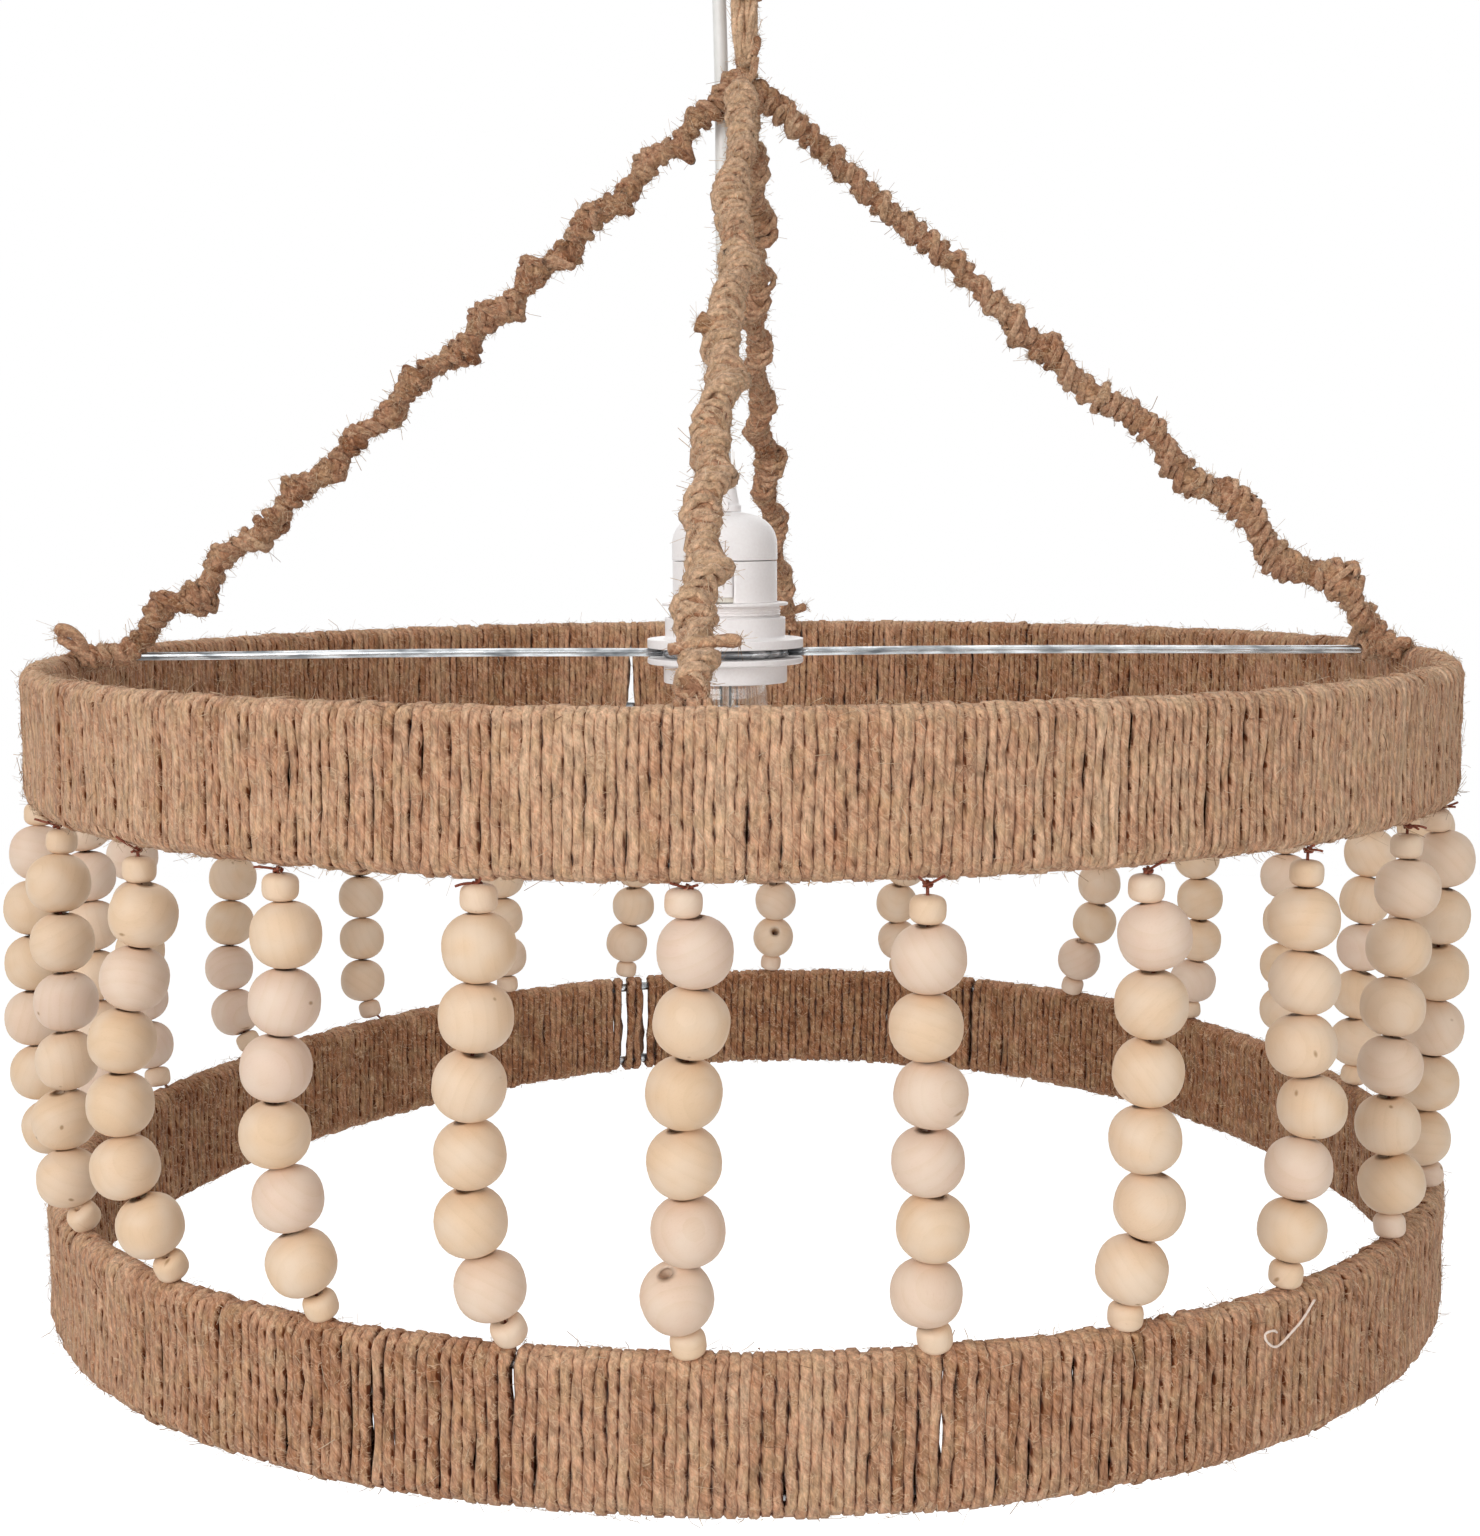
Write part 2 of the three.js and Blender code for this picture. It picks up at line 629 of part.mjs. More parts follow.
// A side rope swells into its knot, which sits on the band and on the end of the cross bar
function sideRope(shares) {
  const curve = sideRopeCurve(shares);
  const steps = 13;
  const stations = [];
  for (let step = 0; step <= steps; step += 1) {
    const radius = step === steps ? knotRadius : sideRopeRadius;
    const share = step / steps;
    stations.push({ point: curve.getPoint(share), along: curve.getTangent(share), radius });
  }
  const knotEndShare = 0.6;
  const { point, along } = stations.at(-1);
  const tip = point.clone().addScaledVector(along, knotRadius * knotEndShare);
  stations.push({ point: tip, along, radius: sideRopeRadius });
  const bandRoom = toSolid(roundBand(upperBand, windingSection(bandHalf + seat, endChamferShare)));
  const barRoom = new THREE.CylinderGeometry(barWireRadius + seat, barWireRadius + seat, 2 * hoopRadius, tubeSides);
  barRoom.rotateZ(Math.PI / 2).translate(bandShiftX, 0, barZ);
  return fromSolid(toSolid(sweptBody(stations, ropeSides)).subtract(bandRoom).subtract(toSolid(barRoom)));
}

// Cable
function powerCable() {
  const glandTop = upperHoopZ + bodyTopAboveHoop + seat + capHeight + seat + glandHeight;
  const footZ = glandTop - glandHeight - capWall;
  const apexClear = sideRopeRadius + cableRadius + turningGap;
  const points = [
    new THREE.Vector3(holderX, 0, footZ),
    new THREE.Vector3(holderX, 0, glandTop + 2 * cableRadius),
    new THREE.Vector3(holderX, apexClear / 2, (glandTop + apexZ) / 2),
    new THREE.Vector3(holderX, apexClear, apexZ - ropeStartDrop),
    new THREE.Vector3((holderX + cableOffsetX) / 2, (apexClear + cableOffsetY) / 2, (apexZ + cableTopZ) / 2),
    new THREE.Vector3(cableOffsetX, cableOffsetY, outletMouthZ),
    new THREE.Vector3(cableOffsetX, cableOffsetY, cableTopZ),
  ];
  return rod(points, cableRadius, 16);
}

// Lamp holder. The cap locks on the body with a tongue in a slot at the front.
function cableGland() {
  const foot = upperHoopZ + bodyTopAboveHoop + seat + capHeight + seat;
  const bore = cableRadius + seat;
  const outline = [
    [bore, foot],
    [glandRadius, foot],
    [glandRadius, foot + glandHeight / 4],
    [glandTopRadius, foot + glandHeight],
    [bore, foot + glandHeight],
  ];
  return turnedRing(outline, 12).translate(holderX, 0, 0);
}

function holderCap() {
  const foot = upperHoopZ + bodyTopAboveHoop + seat;
  const bore = cableRadius + seat;
  const outline = [
    [capRadius - capWall, foot],
    [capRadius, foot],
    [capRadius, foot + capHeight / 3],
    [capShoulderRadius, foot + capShoulderHeight],
    [capTopRadius, foot + capHeight],
    [bore, foot + capHeight],
    [bore, foot + capHeight - capWall],
    [capTopRadius - capWall / 2, foot + capHeight - capWall],
    [capShoulderRadius - capWall, foot + capShoulderHeight - capWall / 2],
    [capRadius - capWall, foot + capHeight / 3],
  ];
  const tongueFoot = upperHoopZ + bodyRimAboveHoop + bodyRimHeight + tongueGap;
  const tongueTop = foot + cutOverrun;
  const wall = turnedRing([
    [bodyRadius - bodyWall, tongueFoot],
    [bodyRadius, tongueFoot],
    [bodyRadius, tongueTop],
    [bodyRadius - bodyWall, tongueTop],
  ]);
  const tongue = toSolid(wall).intersect(toSolid(frontBlock(tongueWidth, tongueFoot - cutOverrun, tongueTop)));
  return fromSolid(toSolid(turnedRing(outline)).add(tongue)).translate(holderX, 0, 0);
}

// A block through the front of the holder's wall
function frontBlock(width, foot, top) {
  return new THREE.BoxGeometry(width, capRadius, top - foot).translate(0, -capRadius, (top + foot) / 2);
}

function holderBody() {
  const top = upperHoopZ + bodyTopAboveHoop;
  const rimFoot = upperHoopZ + bodyRimAboveHoop;
  const foot = barZ - barWireRadius - seat - lowerFlangeThickness - lowerCollarHeight;
  const threadTop = rimFoot + bodyRimHeight;
  const threadFoot = threadTop - threadBoreHeight;
  const mouth = bodyRadius - bodyWall;
  const outline = [
    [mouth, foot],
    [bodyRadius, foot],
    [bodyRadius, rimFoot],
    [bodyRimRadius, rimFoot],
    [bodyRimRadius, rimFoot + bodyRimHeight],
    [bodyRadius, rimFoot + bodyRimHeight],
    [bodyRadius, top],
    [mouth, top],
    [mouth, threadTop],
    [threadBore, threadTop],
    [threadBore, threadFoot],
    [mouth, threadFoot - bodyWall],
  ];
  const slot = toSolid(frontBlock(tongueWidth + 2 * seat, threadTop, top + cutOverrun));
  return fromSolid(toSolid(turnedRing(outline)).subtract(slot)).translate(holderX, 0, 0);
}

function contactBlock() {
  const foot = upperHoopZ + bodyRimAboveHoop + bodyRimHeight + seat;
  const contactRadius = bodyRadius - bodyWall - seat;
  const top = foot + contactHeight;
  const outline = [[0, foot], [contactRadius, foot], [contactRadius, top], [0, top]];
  return turned(outline).translate(holderX, 0, 0);
}

function upperShadeRing() {
  const foot = barZ + barWireRadius + seat;
  const bore = bodyRadius + turningGap;
  const outline = [
    [bore, foot],
    [flangeRadius, foot],
    [flangeRadius, foot + flangeThickness],
    [upperCollarRadius, foot + flangeThickness],
    [upperCollarRadius, foot + flangeThickness + upperCollarHeight],
    [bore, foot + flangeThickness + upperCollarHeight],
  ];
  return turnedRing(outline).translate(holderX, 0, 0);
}

function lowerShadeRing() {
  const top = barZ - barWireRadius - seat;
  const bore = bodyRadius + turningGap;
  const outline = [
    [bore, top - lowerFlangeThickness - lowerCollarHeight],
    [lowerCollarRadius, top - lowerFlangeThickness - lowerCollarHeight],
    [lowerCollarRadius, top - lowerFlangeThickness],
    [flangeRadius, top - lowerFlangeThickness],
    [flangeRadius, top],
    [bore, top],
  ];
  return turnedRing(outline).translate(holderX, 0, 0);
}

// The bar's ring lies between the shade rings, and its arms reach the band's inner face
function crossBar() {
  const ringRadius = bodyRadius + turningGap + barWireRadius;
  let solid = toSolid(wireRing(ringRadius, barWireRadius, latheSegments, 6).translate(holderX, 0, barZ));
  for (const side of [-1, 1]) {
    const from = holderX + side * ringRadius;
    const to = onBand(upperBand, side * 90, -bandHalf - seat).x;
    const arm = new THREE.CylinderGeometry(barWireRadius, barWireRadius, Math.abs(to - from), 6);
    solid = solid.add(toSolid(arm.rotateZ(Math.PI / 2).translate((from + to) / 2, 0, barZ)));
  }
  return fromSolid(solid);
}

// Bulb
const bulbTopZ = upperHoopZ + bodyRimAboveHoop + bodyRimHeight - turningGap;
const bulbCapFootZ = bulbTopZ - bulbCapHeight;

function bulbCap() {
  const pocket = glassNeckRadius + seat;
  const outline = [
    [0, bulbCapFootZ + bulbCapSkirt],
    [pocket, bulbCapFootZ + bulbCapSkirt],
    [pocket, bulbCapFootZ],
    [bulbCapRadius, bulbCapFootZ],
    [bulbCapRadius, bulbTopZ - 2 * bulbTipHeight],
    [bulbTipRadius, bulbTopZ - bulbTipHeight],
    [bulbTipRadius, bulbTopZ],
    [0, bulbTopZ],
  ];
  return turned(outline, 14).translate(holderX, 0, 0);
}

// The glass envelope's outline, from its neck down to its foot, as shares of its radius and its length
const glassOutlineShares = [
  [1, 0.44], [0.95, 0.62], [0.78, 0.82], [0.45, 0.96], [0, 1],
];

function bulbGlass() {
  const top = bulbCapFootZ + bulbCapSkirt - seat;
  const shoulderZ = bulbCapFootZ - seat - glassShoulderRadius / 2;
  const outer = [[glassNeckRadius, top], [glassNeckRadius, bulbCapFootZ - seat], [glassShoulderRadius, shoulderZ]];
  const inner = [[glassNeckRadius - glassWall, top], [glassNeckRadius - glassWall, bulbCapFootZ - seat]];
  inner.push([glassShoulderRadius - glassWall, shoulderZ]);
  for (const [radiusShare, lengthShare] of glassOutlineShares) {
    outer.push([glassRadius * radiusShare, bulbCapFootZ - glassLength * lengthShare]);
    inner.push([(glassRadius - glassWall) * radiusShare, bulbCapFootZ - (glassLength - glassWall) * lengthShare]);
  }
  return turned([...outer.reverse(), ...inner], 14).translate(holderX, 0, 0);
}

function bulbStem() {
  const top = bulbCapFootZ + bulbCapSkirt - seat;
  const narrow = stemRadius / 2;
  const flare = glassNeckRadius - glassWall - seat;
  const outline = [
    [0, top - stemLength],
    [narrow, top - stemLength],
    [stemRadius, top - stemLength / 2],
    [flare, top - glassWall],
    [flare, top],
    [0, top],
  ];
  return turned(outline, 10).translate(holderX, 0, 0);
}

// The whole lamp
const chandelier = new THREE.Group();

function addPart(name, geometry, material) {
  const mesh = new THREE.Mesh(geometry, material);
  mesh.name = name;
  chandelier.add(mesh);
}

addPart('ceiling_canopy', canopy(), whitePlastic);
addPart('hook_bracket', hookBracket(), steel);
addPart('ceiling_hook', ceilingHook(), steel);
addPart('hook_nut', hookNut(), steel);
addPart('terminal_block', terminalBlock(), whitePlastic);
addPart('cable_outlet', cableOutlet(), whitePlastic);
addPart('cable_tail', cableTail(), plasticCable);
addPart('hang_ring', hangRing(), steel);
addPart('main_rope', mainRope(), jute);
addPart('apex_binding', apexBinding(), jute);
for (const [name, shares] of Object.entries(ropeShares)) {
  addPart(name, sideRope(shares), jute);
}
addPart('power_cable', powerCable(), plasticCable);
addPart('cable_gland', cableGland(), whitePlastic);
addPart('holder_cap', holderCap(), whitePlastic);
addPart('holder_body', holderBody(), whitePlastic);
addPart('contact_block', contactBlock(), porcelain);
addPart('shade_ring_upper', upperShadeRing(), whitePlastic);
addPart('shade_ring_lower', lowerShadeRing(), whitePlastic);
addPart('cross_bar', crossBar(), zincWire);
addPart('bulb_cap', bulbCap(), brass);
addPart('bulb_glass', bulbGlass(), glass);
addPart('bulb_stem', bulbStem(), glass);
addPart('upper_band_winding', winding(upperBand), jute);
addPart('upper_band_top_hoop', hoop(upperBand, 0), zincWire);
addPart('upper_band_foot_hoop', hoop(upperBand, hoopSpacing), zincWire);
addPart('lower_band_winding', winding(lowerBand), darkJute);
addPart('lower_band_top_hoop', hoop(lowerBand, 0), zincWire);
addPart('lower_band_foot_hoop', hoop(lowerBand, hoopSpacing), zincWire);
strandShares.forEach((strand, k) => {
  addPart(`bead_strand_${String(k + 1).padStart(2, '0')}`, beadStrand(strand), paleWood);
});

export default chandelier;
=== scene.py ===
"""Looks of a beaded jute chandelier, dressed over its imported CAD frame.

Sizes are millimetres in the part's own frame: +Z up with the ceiling at zero, the hook on the Z axis and the
front at -Y. They turn to metres as they go into a mesh.
"""
import logging
import math
from dataclasses import dataclass
from enum import StrEnum
from functools import cached_property, partial

import bpy
import numpy as np
from mathutils import Euler, Matrix, Vector


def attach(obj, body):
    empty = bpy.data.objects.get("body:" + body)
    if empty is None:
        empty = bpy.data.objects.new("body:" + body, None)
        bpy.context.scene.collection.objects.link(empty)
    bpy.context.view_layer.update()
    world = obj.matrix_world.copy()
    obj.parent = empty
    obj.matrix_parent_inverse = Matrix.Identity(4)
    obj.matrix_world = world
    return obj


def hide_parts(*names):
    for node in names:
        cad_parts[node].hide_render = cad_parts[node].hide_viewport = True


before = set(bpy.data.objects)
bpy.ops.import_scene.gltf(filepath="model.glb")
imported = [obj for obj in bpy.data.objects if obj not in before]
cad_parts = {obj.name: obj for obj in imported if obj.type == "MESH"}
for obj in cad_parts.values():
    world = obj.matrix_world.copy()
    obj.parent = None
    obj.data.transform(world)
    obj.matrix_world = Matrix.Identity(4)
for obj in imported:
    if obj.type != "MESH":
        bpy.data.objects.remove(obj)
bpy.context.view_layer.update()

LOG = logging.getLogger("chandelier")
MM = 0.001
TURN = 2 * math.pi
Array = np.ndarray
Outline = list[tuple[float, float]]
Tree = bpy.types.NodeTree
Socket = bpy.types.NodeSocket
Inputs = dict[str | int, object]
ALONG_X, ALONG_Y, UP = np.eye(3)


class Body(StrEnum):
    """The moving bodies that the pieces ride on."""

    CEILING = "ceiling_fitting"
    RING = "hang_ring"
    FRAME = "hanging_frame"
    UPPER_RING = "upper_shade_ring"
    LOWER_RING = "lower_shade_ring"
    BULB = "bulb"
    LOWER_BAND = "lower_band"


class Slot(StrEnum):
    """The record's material slots."""

    JUTE = "jute"
    WOOD = "pale_wood"
    PLASTIC = "white_plastic"
    ENAMEL = "white_metal"
    ZINC = "zinc_wire"
    STEEL = "plated_steel"
    BRASS = "brass"
    GLASS = "clear_glass"
    SHEATH = "cable_sheath"
    PORCELAIN = "porcelain"


# Numbers.


def unit(vectors: Array) -> Array:
    """Vectors divided by their lengths, along the last axis."""
    return vectors / np.maximum(np.linalg.norm(vectors, axis=-1, keepdims=True), 1e-12)


def xyz(x: Array | float, y: Array | float, z: Array | float) -> Array:
    """Places from their three coordinates, each of them an array or one number for all."""
    return np.stack(np.broadcast_arrays(x, y, z), axis=-1)


def even_angles(count: int) -> Array:
    """Angles that go once round in even steps."""
    return np.arange(count) * TURN / count


def smooth_noise(rng: np.random.Generator, shape: tuple[int, ...], width: int) -> Array:
    """Random values that change slowly along the last axis: a moving mean of white noise, with spread one.

    Args:
        rng: The seeded source of random numbers.
        shape: The shape of the result.
        width: How many entries the moving mean takes in.

    Returns:
        An array of that shape.
    """
    raw = rng.standard_normal((*shape[:-1], shape[-1] + width - 1))
    total = np.cumsum(np.concatenate([np.zeros((*shape[:-1], 1)), raw], axis=-1), axis=-1)
    return (total[..., width:] - total[..., :-width]) / math.sqrt(width)


def spline(points: Array, count: int) -> Array:
    """A Catmull-Rom curve: on each span a cubic whose slopes are half the chord between the neighbours.

    Args:
        points: The places that it passes, one row each.
        count: How many evenly spaced places to return.

    Returns:
        An array of count rows.
    """
    p = np.concatenate([2 * points[:1] - points[1:2], points, 2 * points[-1:] - points[-2:-1]])
    at = np.linspace(0, len(points) - 1, 12 * count)
    k = np.minimum(at.astype(int), len(points) - 2)
    t = (at - k)[:, None]
    a, b, c, d = p[k], p[k + 1], p[k + 2], p[k + 3]
    fine = 0.5 * (2 * b + (c - a) * t + (2 * a - 5 * b + 4 * c - d) * t**2 + (3 * b - a - 3 * c + d) * t**3)
    run = np.concatenate([[0], np.cumsum(np.linalg.norm(np.diff(fine, axis=0), axis=1))])
    even = np.linspace(0, run[-1], count)
    return np.stack([np.interp(even, run, fine[:, i]) for i in range(3)], axis=1)


def run_length(path: Array) -> Array:
    """The length run from the start of a path to each of its places, along the axis before the last."""
    steps = np.linalg.norm(np.diff(path, axis=-2), axis=-1)
    return np.concatenate([np.zeros((*steps.shape[:-1], 1)), np.cumsum(steps, axis=-1)], axis=-1)


def rounded(outline: Outline, radius: float, closed: bool = True, steps: int = 4) -> Array:
    """An outline whose corners give way to quadratic arcs between two places on their sides.

    Args:
        outline: Corners as pairs of radius and height.
        radius: How far along its sides a corner is cut back, at most a third of either side.
        closed: Whether the last corner joins the first.
        steps: How many spans each arc has.

    Returns:
        The places on the outline, one row each, with a support place on either side of every arc.
    """
    p = np.array(outline, float)
    before, after = np.roll(p, 1, axis=0) - p, np.roll(p, -1, axis=0) - p
    lengths = np.stack([np.linalg.norm(before, axis=1), np.linalg.norm(after, axis=1)])
    cut = np.minimum(radius, lengths.min(axis=0) / 3)[:, None]
    a, b = p + unit(before) * cut, p + unit(after) * cut
    t = np.linspace(0, 1, steps + 1)[None, :, None]
    arc = (1 - t) ** 2 * a[:, None] + 2 * t * (1 - t) * p[:, None] + t**2 * b[:, None]
    lead = (p + unit(before) * cut * 1.25)[:, None]
    trail = (p + unit(after) * cut * 1.25)[:, None]
    full = np.concatenate([lead, arc, trail], axis=1)
    if closed:
        return full.reshape(-1, 2)
    return np.concatenate([p[:1], full[1:-1].reshape(-1, 2), p[-1:]])


# Meshes.


class Surface:
    """Closed surfaces worked out on grids and gathered into one mesh."""

    def __init__(self) -> None:
        """Starts with no faces."""
        self.count = 0
        self.points: list[Array] = []
        self.loops: list[Array] = []
        self.totals: list[Array] = []
        self.smooth: list[Array] = []
        self.uv: list[Array] = []
        self.tone: list[Array] = []
        self.place: list[Array] = []

    def _faces(self, loops: Array, uv: Array, smooth: bool) -> None:
        """Adds faces that all have the same number of corners."""
        self.loops.append(loops.reshape(-1))
        self.totals.append(np.full(len(loops), loops.shape[1]))
        self.smooth.append(np.full(len(loops), smooth))
        self.uv.append(uv.reshape(-1, 2))

    def grid(
        self, points: Array, wrap: bool = False, cap: bool = True, along: Array | None = None,
        around: float = 1.0, tone: Array | float = 0.5, place: Array | None = None,
    ) -> "Surface":
        """Adds rings of places joined by quads: faces run row by row, and every ring closes on itself.

        Args:
            points: Places of shape (copies, rings, places, 3), each ring right-handed about their way.
            wrap: Whether the last ring joins the first.
            cap: Whether open ends are closed with a flat face.
            along: The pattern's length at each ring, of shape (copies, rings or rings + 1 when wrapped).
            around: The pattern's length round a ring.
            tone: A shade from 0 to 1 for each copy, ring or place.
            place: The pattern's own place for each point, where it doesn't follow the surface.

        Returns:
            The surface itself.
        """
        points = points if points.ndim == 4 else points[None]
        copies, rings, sides = points.shape[:3]
        rows = np.arange(rings if wrap else rings - 1)[:, None]
        cols = np.arange(sides)[None, :]
        ahead, beside = (rows + 1) % rings, (cols + 1) % sides
        corners = [rows * sides + cols, rows * sides + beside, ahead * sides + beside, ahead * sides + cols]
        quads = np.stack(np.broadcast_arrays(*corners), axis=-1).reshape(-1, 4)
        offset = self.count + np.arange(copies)[:, None, None] * rings * sides
        if along is None:
            along = np.broadcast_to(np.arange(rings + 1.0), (copies, rings + 1))
        along = along if along.ndim == 2 else along[None]
        here, there = along[:, rows[:, 0]], along[:, rows[:, 0] + 1]
        u = np.stack([cols[0], cols[0] + 1, cols[0] + 1, cols[0]], axis=-1) * around / sides
        v = np.stack([here, here, there, there], axis=-1)
        shape = (copies, len(rows), sides, 4)
        uv = [np.broadcast_to(u[None, None], shape), np.broadcast_to(v[:, :, None], shape)]
        self._faces((quads[None] + offset).reshape(-1, 4), np.stack(uv, axis=-1), True)
        if cap and not wrap:
            for ring, end in ((np.arange(sides)[::-1], 0), (np.arange(sides) + (rings - 1) * sides, -1)):
                flat = np.zeros((copies, sides, 2))
                flat[..., 1] = along[:, [end]]
                self._faces(ring[None] + offset[:, 0], flat, False)
        self.points.append(points.reshape(-1, 3))
        tone = np.asarray(tone, float)
        tone = tone.reshape(tone.shape + (1,) * (3 - tone.ndim))
        self.tone.append(np.broadcast_to(tone, points.shape[:3]).reshape(-1))
        self.place.append((points if place is None else place).reshape(-1, 3))
        self.count += copies * rings * sides
        return self

    def tube(
        self, path: Array, radius: Array | float, reference: Array, sides: int = 8, wrap: bool = False,
        tone: Array | float = 0.5, width: Array | float = 1.0, thickness: float = 1.0,
        along: Array | None = None, around: float | None = None,
    ) -> "Surface":
        """Adds tubes: at each station a ring of the given radius, square to the path.

        Args:
            path: Centre lines of shape (copies, stations, 3).
            radius: The radius at each station.
            reference: A direction that is never along the path, which sets where a ring starts.
            sides: How many sides a ring has.
            wrap: Whether the path closes on itself.
            tone: A shade from 0 to 1.
            width: A factor on the radius along the reference.
            thickness: A factor on the radius across it.
            along: The pattern's length at each station and, on a closed path, at its end.
            around: The pattern's length round a ring.

        Returns:
            The surface itself.
        """
        path = path if path.ndim == 3 else path[None]
        if wrap:
            tangent = np.roll(path, -1, axis=1) - np.roll(path, 1, axis=1)
        else:
            tangent = np.gradient(path, axis=1)
        tangent = unit(tangent)
        reference = np.broadcast_to(reference, path.shape)
        side = unit(reference - np.sum(reference * tangent, axis=-1, keepdims=True) * tangent)
        up = np.cross(tangent, side)
        angle = even_angles(sides)
        radius = np.broadcast_to(np.asarray(radius, float), path.shape[:2])[..., None, None]
        ring = width * np.cos(angle)[:, None] * side[:, :, None]
        ring = ring + thickness * np.sin(angle)[:, None] * up[:, :, None]
        if along is None:
            along = run_length(path)
            step = along[:, -1:] - along[:, -2:-1]
            along = np.concatenate([along, along[:, -1:] + step], axis=1)
        around = around or TURN * float(np.mean(radius))
        return self.grid(path[:, :, None] + radius * ring, wrap, not wrap, along, around, tone)

    def lathe(
        self, outline: Array, centre: Array | tuple[float, float, float], sides: int = 96, wrap: bool = True,
    ) -> "Surface":
        """Adds a turned body: the outline's radius times the circle, at its height.

        Args:
            outline: Pairs of radius and height, going up on the outside.
            centre: Where its upright axis stands and where its heights count from.
            sides: How many sides the circle has.
            wrap: Whether the outline closes on itself, rather than ending near the axis.

        Returns:
            The surface itself.
        """
        angle = even_angles(sides)
        circle = xyz(np.cos(angle), np.sin(angle), 0)
        points = outline[:, 0, None, None] * circle + outline[:, 1, None, None] * UP
        along = np.concatenate([[0], np.cumsum(np.linalg.norm(np.diff(outline, axis=0), axis=1))])
        along = np.append(along, along[-1] + np.linalg.norm(outline[-1] - outline[0]))
        return self.grid(points + np.array(centre), wrap, True, along, TURN * float(outline[:, 0].max()))

    def build(self, name: str, finish: "Finish", body: str, *nodes: str) -> bpy.types.Object:
        """Makes the object, at the origin, with its place in its mesh.

        Args:
            name: The piece's name.
            finish: What it is made of.
            body: The body that it rides on.
            nodes: The CAD nodes that it stands for.

        Returns:
            The new object.
        """
        mesh = bpy.data.meshes.new(name)
        points, loops = np.concatenate(self.points) * MM, np.concatenate(self.loops)
        totals = np.concatenate(self.totals)
        mesh.vertices.add(len(points))
        mesh.vertices.foreach_set("co", points.astype(np.float32).ravel())
        mesh.loops.add(len(loops))
        mesh.loops.foreach_set("vertex_index", loops.astype(np.int32))
        mesh.polygons.add(len(totals))
        mesh.polygons.foreach_set("loop_start", (np.cumsum(totals) - totals).astype(np.int32))
        mesh.polygons.foreach_set("loop_total", totals.astype(np.int32))
        mesh.update(calc_edges=True)
        mesh.polygons.foreach_set("use_smooth", np.concatenate(self.smooth))
        layer = mesh.uv_layers.new(name="UVMap")
        layer.data.foreach_set("uv", np.concatenate(self.uv).astype(np.float32).ravel())
        tone = mesh.attributes.new("tone", "FLOAT", "POINT")
        tone.data.foreach_set("value", np.concatenate(self.tone).astype(np.float32))
        place = mesh.attributes.new("place", "FLOAT_VECTOR", "POINT")
        place.data.foreach_set("vector", np.concatenate(self.place).astype(np.float32).ravel())
        mesh.materials.append(finish.material)
        piece = bpy.data.objects.new(name, mesh)
        bpy.context.scene.collection.objects.link(piece)
        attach(piece, body)
        if nodes:
            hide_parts(*nodes)
        LOG.info("%s: %d faces on %s", name, len(totals), body)
        return piece


# Finishes.


def linear(colour: str) -> tuple[float, float, float, float]:
    """The linear values of an sRGB hex colour: (c + 0.055) / 1.055 to the power 2.4 above the toe."""
    values = [int(colour[i:i + 2], 16) / 255 for i in (1, 3, 5)]
    red, green, blue = (c / 12.92 if c <= 0.04045 else ((c + 0.055) / 1.055) ** 2.4 for c in values)
    return (red, green, blue, 1.0)


def feed(tree: Tree, node: bpy.types.Node, inputs: Inputs) -> None:
    """Sets a node's inputs: links a socket, turns a hex colour linear and keeps any other value."""
    for key, value in inputs.items():
        if isinstance(value, Socket):
            tree.links.new(value, node.inputs[key])
        else:
            node.inputs[key].default_value = linear(value) if isinstance(value, str) else value


def add(
    tree: Tree, kind: str, inputs: Inputs | None = None, output: str | None = None,
    stops: list[tuple[float, str]] | None = None, **settings: object,
) -> Socket:
    """Adds a shader node, gives it its settings, and sets or links its inputs.

    Args:
        tree: The material's or world's nodes.
        kind: The node's type.
        inputs: A value or another node's socket for each named or numbered input.
        output: The output to give, or nothing for the first one in use.
        stops: A colour ramp's pairs of place and sRGB hex colour.
        settings: The node's own settings.

    Returns:
        The new node's output.
    """
    node = tree.nodes.new("ShaderNode" + kind)
    for key, value in settings.items():
        setattr(node, key, value)
    feed(tree, node, inputs or {})
    for index, (position, colour) in enumerate(stops or []):
        stop = node.color_ramp.elements[index] if index < 2 else node.color_ramp.elements.new(position)
        stop.position, stop.color = position, linear(colour)
    return node.outputs[output] if output else next(socket for socket in node.outputs if socket.enabled)


@dataclass(frozen=True)
class Finish:
    """What every finish has: a name, the record's slot, and what its shader's inputs are fed."""

    name: str
    slot: Slot

    @cached_property
    def material(self) -> bpy.types.Material:
        """The finished material, made when it is first asked for."""
        material = bpy.data.materials.new(self.name)
        material.use_nodes = True
        tree = material.node_tree
        feed(tree, tree.nodes["Principled BSDF"], self.inputs(tree))
        return material

    def inputs(self, tree: Tree) -> Inputs:
        """Adds the pattern's nodes and gives the shader's inputs."""
        raise NotImplementedError


